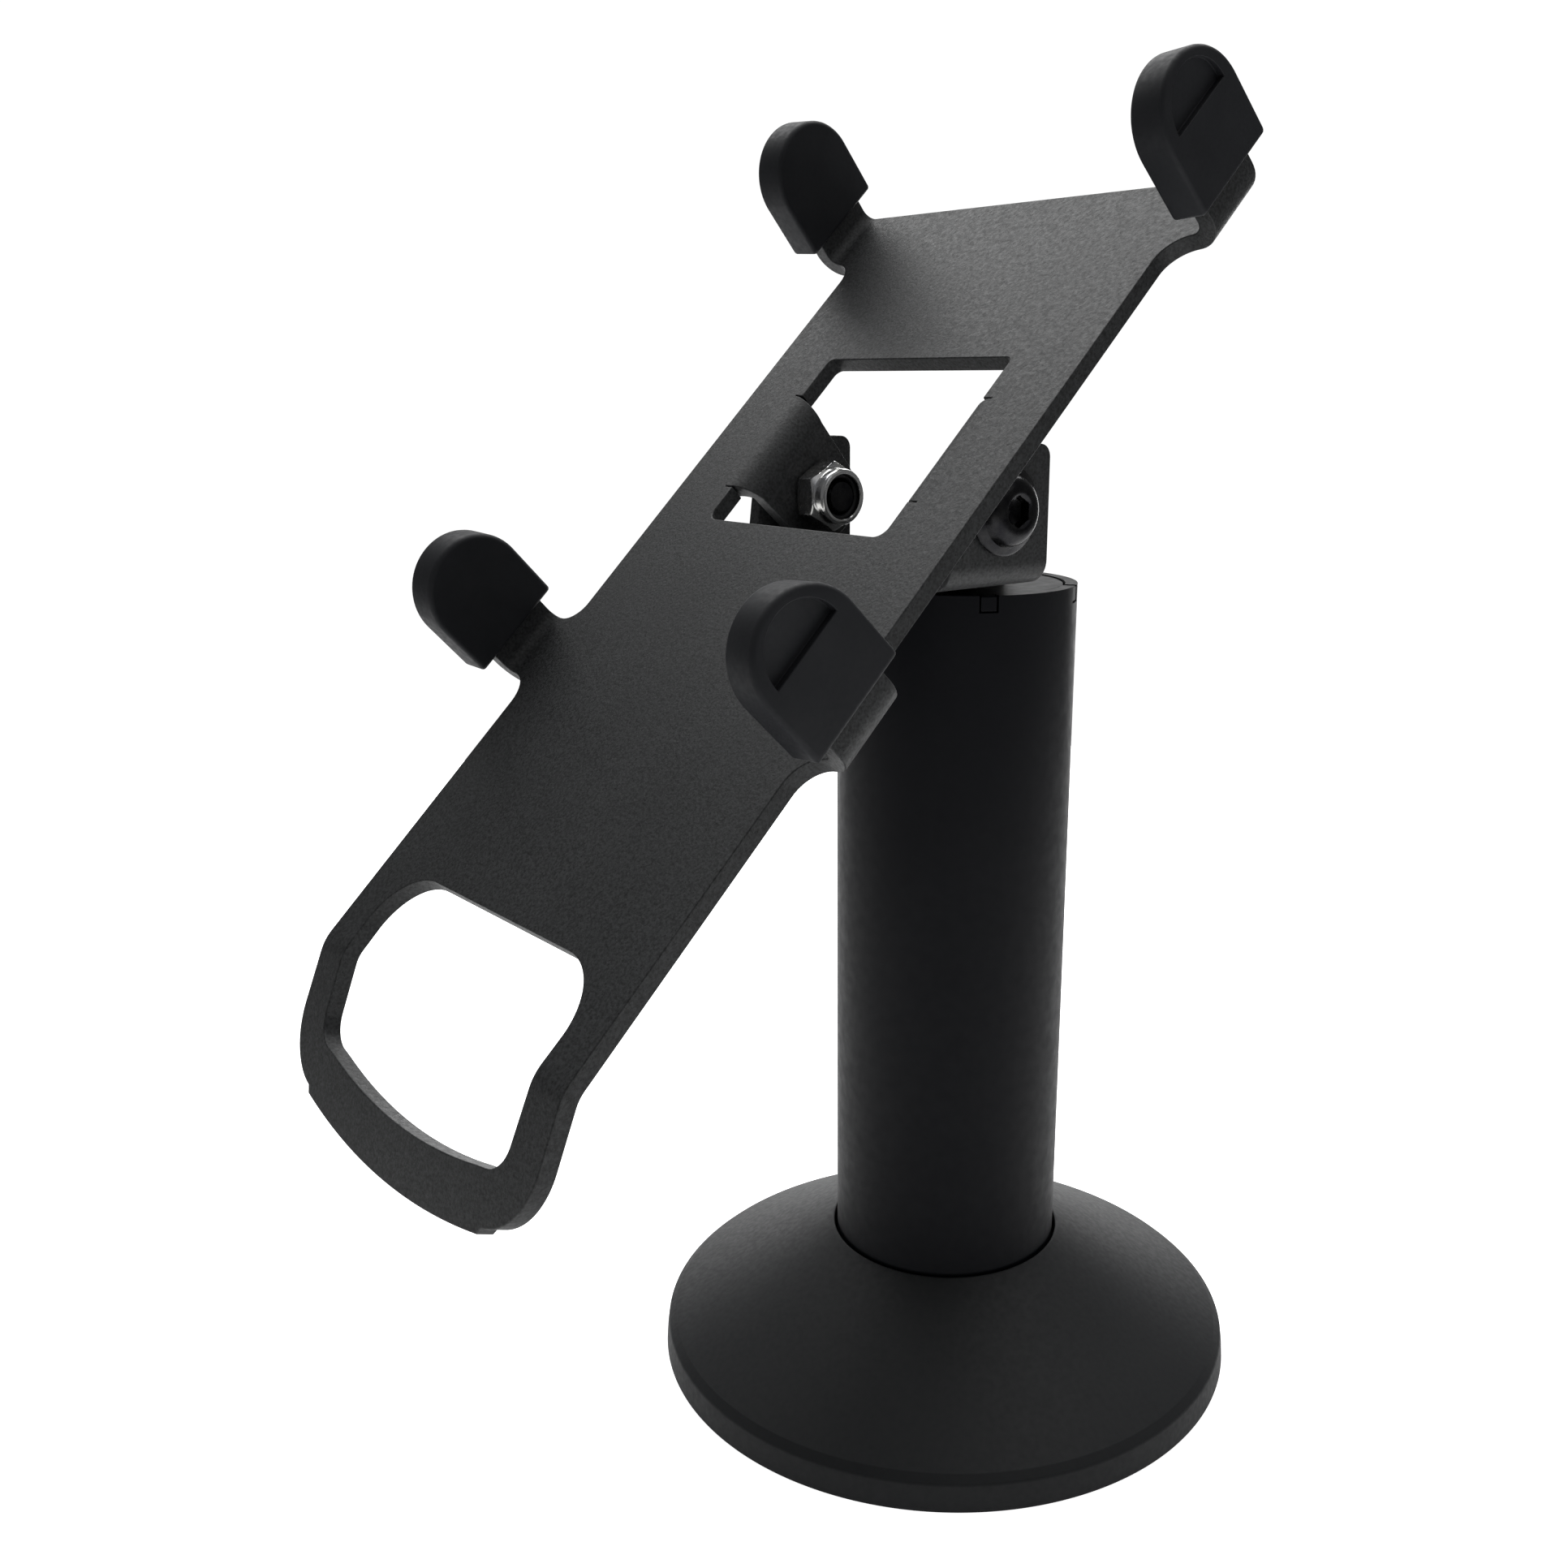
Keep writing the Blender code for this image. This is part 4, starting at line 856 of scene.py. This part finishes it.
def ear_window():
    top, low = EAR_ALONG + EAR_ROOT_HALF, EAR_ALONG - EAR_ROOT_HALF
    flare, axis = ear_flat(EAR_BEND_R), ear_flat(AXIS_BEHIND)
    notch = WINDOW_HALF_WIDTH + RELIEF_DEPTH
    shoulder = (flare, EAR_ALONG + EAR_SIDE_HALF)
    touch = tangent_from(shoulder, (axis, EAR_ALONG), EAR_END_R)
    half = [(0, WINDOW_TOP)]
    half += arc(WINDOW_HALF_WIDTH - 1.2, WINDOW_TOP - 1.2, 1.2, 90, 0, 6)
    half += [(WINDOW_HALF_WIDTH, top + RELIEF_HEIGHT), (notch, top + RELIEF_HEIGHT), (notch, top)]
    half += [(EAR_BEND_START - 0.5, top), shoulder]
    half += arc(axis, EAR_ALONG, EAR_END_R, touch, 360 - touch, 40)
    half += [(flare, EAR_ALONG - EAR_SIDE_HALF), (EAR_BEND_START - 0.5, low)]
    half += [(notch, low), (notch, low - RELIEF_HEIGHT), (WINDOW_HALF_WIDTH, low - RELIEF_HEIGHT)]
    half += arc(WINDOW_HALF_WIDTH - 2, WINDOW_BOTTOM + 2, 2, 0, -90, 8)
    half.append((0, WINDOW_BOTTOM))
    return mirrored(half)


def low_window():
    half = [(0, LOW_WINDOW_TOP)]
    corner = LOW_WINDOW_CORNER_R
    half += arc(LOW_WINDOW_HALF - corner, LOW_WINDOW_TOP - corner, corner, 90, 0, 20)
    foot = LOBE_BEND_ALONG - LOW_WINDOW_REACH
    join = LOW_WINDOW_FOOT_HALF - LOW_WINDOW_FOOT_R
    drop = LOW_WINDOW_ARC_R - math.sqrt(LOW_WINDOW_ARC_R**2 - join**2)
    half += arc(join, foot + drop + LOW_WINDOW_FOOT_R, LOW_WINDOW_FOOT_R, 0, -77, 12)
    sweep = math.degrees(math.asin(join / LOW_WINDOW_ARC_R))
    half += arc(0, foot + LOW_WINDOW_ARC_R, LOW_WINDOW_ARC_R, -90 + sweep, -90, 14)[1:]
    return mirrored(half)


def cradle_creases():
    creases = []
    arm_width = (ARM_BEND_R + SHEET / 2) * (math.pi / 2 + ARM_LEAN)
    ear_width = (EAR_BEND_R - SHEET / 2) * math.pi / 2
    for i in range(BEND_STEPS + 1):
        for hand in (-1, 1):
            arm = hand * (ARM_BEND_START + arm_width * i / BEND_STEPS)
            creases += [(0, arm, c - ARM_HALF_WIDTH - 0.2, c + ARM_HALF_WIDTH + 0.2) for c in ARM_ALONG]
            ear = hand * (EAR_BEND_START - ear_width * i / BEND_STEPS)
            creases.append((0, ear, EAR_ALONG - EAR_ROOT_HALF - 0.1, EAR_ALONG + EAR_ROOT_HALF + 0.1))
    for i in range(7):
        creases.append((1, LOBE_BEND_ALONG - LOBE_BEND_R * LOBE_ANGLE * i / 6, -36, 36))
    return creases


def build_cradle(finishes):
    axis = ear_flat(AXIS_BEHIND)
    holes = [ear_window(), low_window()]
    holes += [circle(hand * axis, EAR_ALONG, SHANK_HOLE_R) for hand in (-1, 1)]
    bm = sheet_mesh(cradle_outline(), holes, cradle_creases(), SHEET, cradle_place)
    plate = add_piece(
        "back_plate", bm, finishes["powder_coat"], "cradle", ["cradle_plate"], 50,
    )
    flatten_normals(plate)


def cap_frame(centre, hand):
    root = plate_point(hand * (CAP_INNER_X + CAP_THICK / 2), centre, CAP_ROOT)
    along = plate_point(0, 1, 0) - plate_point(0, 0, 0)
    ahead = plate_point(0, 0, 1) - plate_point(0, 0, 0)
    across = Vector((hand, 0, 0))
    arm = ahead * math.cos(ARM_LEAN) - across * math.sin(ARM_LEAN)
    outward = across * math.cos(ARM_LEAN) + ahead * math.sin(ARM_LEAN)
    frame = Matrix((along, arm, outward)).transposed().to_4x4()
    frame.translation = root
    return frame


def cap_outline(inset):
    centre, half = CAP_ROUND_CENTRE - CAP_ROOT, CAP_HALF_WIDTH - inset
    foot = arc(-half + 0.5, inset + 0.5, 0.5, 180, 270, 4) + arc(half - 0.5, inset + 0.5, 0.5, 270, 360, 4)
    return foot + arc(0, centre, half, 0, 180, 64)


def cap_mesh(frame):
    half = CAP_THICK / 2
    turns = [math.pi / 2 * i / 5 for i in range(6)]
    outer = [(CAP_EDGE_ROUND * (1 - math.cos(t)), half - CAP_EDGE_ROUND * (1 - math.sin(t))) for t in turns]
    stack = [(inset, -height) for inset, height in reversed(outer)] + outer
    return ring_stack_mesh([[frame @ Vector((x, y, h)) for x, y in cap_outline(inset)] for inset, h in stack])


def recess_mesh(frame):
    centre, top = RECESS_CENTRE - CAP_ROOT, CAP_THICK / 2
    outline = arc(0, centre, RECESS_R, 0, 180, 48)

    def floor(y):
        return top - RECESS_STEP - (RECESS_DEPTH - RECESS_STEP) * (1 - (y - centre) / RECESS_R)

    low = [frame @ Vector((x, y, floor(y))) for x, y in outline]
    high = [frame @ Vector((x, y, top + 1)) for x, y in outline]
    return ring_stack_mesh([low, high])


def pocket_mesh(frame, centre, hand):
    half = ARM_HALF_WIDTH + GAP
    offset = ARM_ALONG[CAP_ALONG.index(centre)] - centre
    z = (frame.inverted() @ plate_point(hand * (ARM_BEND_START + ARM_BEND_R), centre, ARM_BEND_R)).z
    deep = STEM_END - CAP_ROOT + GAP + 0.4
    outline = [(offset - half, -1), (offset + half, -1), (offset + half, deep), (offset - half, deep)]
    return prism_mesh(outline, z - GAP, z + SHEET + GAP, frame)


def build_caps(finishes):
    for level, centre in zip(("upper", "lower"), CAP_ALONG):
        for side, hand in (("left", -1), ("right", 1)):
            frame = cap_frame(centre, hand)
            cap = add_piece(
                f"sleeve_{level}_{side}", cap_mesh(frame), finishes["cap_plastic"], "cradle",
                [f"arm_cap_{level}_{side}"],
            )
            tools = [cut(cap, "pocket", pocket_mesh(frame, centre, hand))]
            tools.append(cut(cap, "half_moon", recess_mesh(frame)))
            apply_modifiers(cap, tools)
            cap.data.shade_smooth()
            cap.data.set_sharp_from_angle(angle=math.radians(30))
            round_edges(cap, 0.18)


# Studio


def stage_floor():
    """Pale round table top under the stand."""
    material = bpy.data.materials.new("paper")
    material.use_nodes = True
    shader = material.node_tree.nodes["Principled BSDF"]
    shader.inputs["Base Color"].default_value = (0.95, 0.95, 0.95, 1)
    shader.inputs["Roughness"].default_value = 0.9
    shader.inputs["Specular IOR Level"].default_value = 0.0
    shader.inputs["Emission Color"].default_value = (1, 1, 1, 1)
    seen = material.node_tree.nodes.new("ShaderNodeLightPath").outputs["Is Camera Ray"]
    glow = material.node_tree.nodes.new("ShaderNodeMapRange")
    glow.inputs["To Min"].default_value = FLOOR_GLOW
    glow.inputs["To Max"].default_value = FLOOR_SEEN
    material.node_tree.links.new(seen, glow.inputs["Value"])
    material.node_tree.links.new(glow.outputs["Result"], shader.inputs["Emission Strength"])
    bm = bmesh.new()
    bm.faces.new([bm.verts.new((x, y, 0)) for x, y in circle(0, 0, FLOOR_R_M, 96)])
    mesh = bpy.data.meshes.new("floor")
    bm.to_mesh(mesh)
    bm.free()
    mesh.materials.append(material)
    floor = bpy.data.objects.new("floor", mesh)
    bpy.context.scene.collection.objects.link(floor)


def add_light(name, place_mm, target_mm, size, power):
    data = bpy.data.lights.new(name, "AREA")
    data.shape = "RECTANGLE"
    data.size, data.size_y = size
    data.energy = power
    light = bpy.data.objects.new(name, data)
    bpy.context.scene.collection.objects.link(light)
    light.location = Vector(place_mm) * MM
    aim = Vector(target_mm) * MM - light.location
    light.rotation_euler = aim.to_track_quat("-Z", "Y").to_euler()
    light.visible_camera = False


def build_studio():
    """White backdrop seen by the camera, dim fill, and soft lights above and behind."""
    world = bpy.data.worlds.new("studio")
    world.use_nodes = True
    nodes, links = world.node_tree.nodes, world.node_tree.links
    fill = nodes["Background"]
    fill.inputs["Color"].default_value = (1, 1, 1, 1)
    fill.inputs["Strength"].default_value = FILL
    backdrop = nodes.new("ShaderNodeBackground")
    backdrop.inputs["Color"].default_value = (1, 1, 1, 1)
    backdrop.inputs["Strength"].default_value = 1.05
    seen = nodes.new("ShaderNodeLightPath").outputs["Is Camera Ray"]
    mix = nodes.new("ShaderNodeMixShader")
    links.new(seen, mix.inputs["Fac"])
    links.new(fill.outputs["Background"], mix.inputs[1])
    links.new(backdrop.outputs["Background"], mix.inputs[2])
    links.new(mix.outputs["Shader"], nodes["World Output"].inputs["Surface"])
    bpy.context.scene.world = world
    for light in LIGHTS:
        add_light(*light)
    stage_floor()


def build_camera():
    data = bpy.data.cameras.new("camera")
    data.sensor_width = SENSOR_MM
    data.lens = LENS_MM
    data.shift_x, data.shift_y = CAMERA_SHIFT
    data.clip_start, data.clip_end = 0.01, 20
    camera = bpy.data.objects.new("camera", data)
    bpy.context.scene.collection.objects.link(camera)
    axes = Matrix((Vector(CAMERA_RIGHT), -Vector(CAMERA_DOWN), -Vector(CAMERA_FORWARD))).transposed()
    camera.rotation_euler = axes.to_euler()
    camera.location = Vector(CAMERA_MM) * MM
    bpy.context.scene.camera = camera


def main():
    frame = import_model()
    finishes = {name: make() for name, make in FINISHES.items()}
    paint_frame(frame, finishes)
    build_foot(finishes)
    build_pole(finishes)
    build_swivel(finishes)
    build_yoke(finishes)
    build_tilt_hardware(finishes)
    build_cradle(finishes)
    build_caps(finishes)
    build_studio()
    build_camera()
    bpy.context.scene.view_settings.view_transform = "Standard"


main()
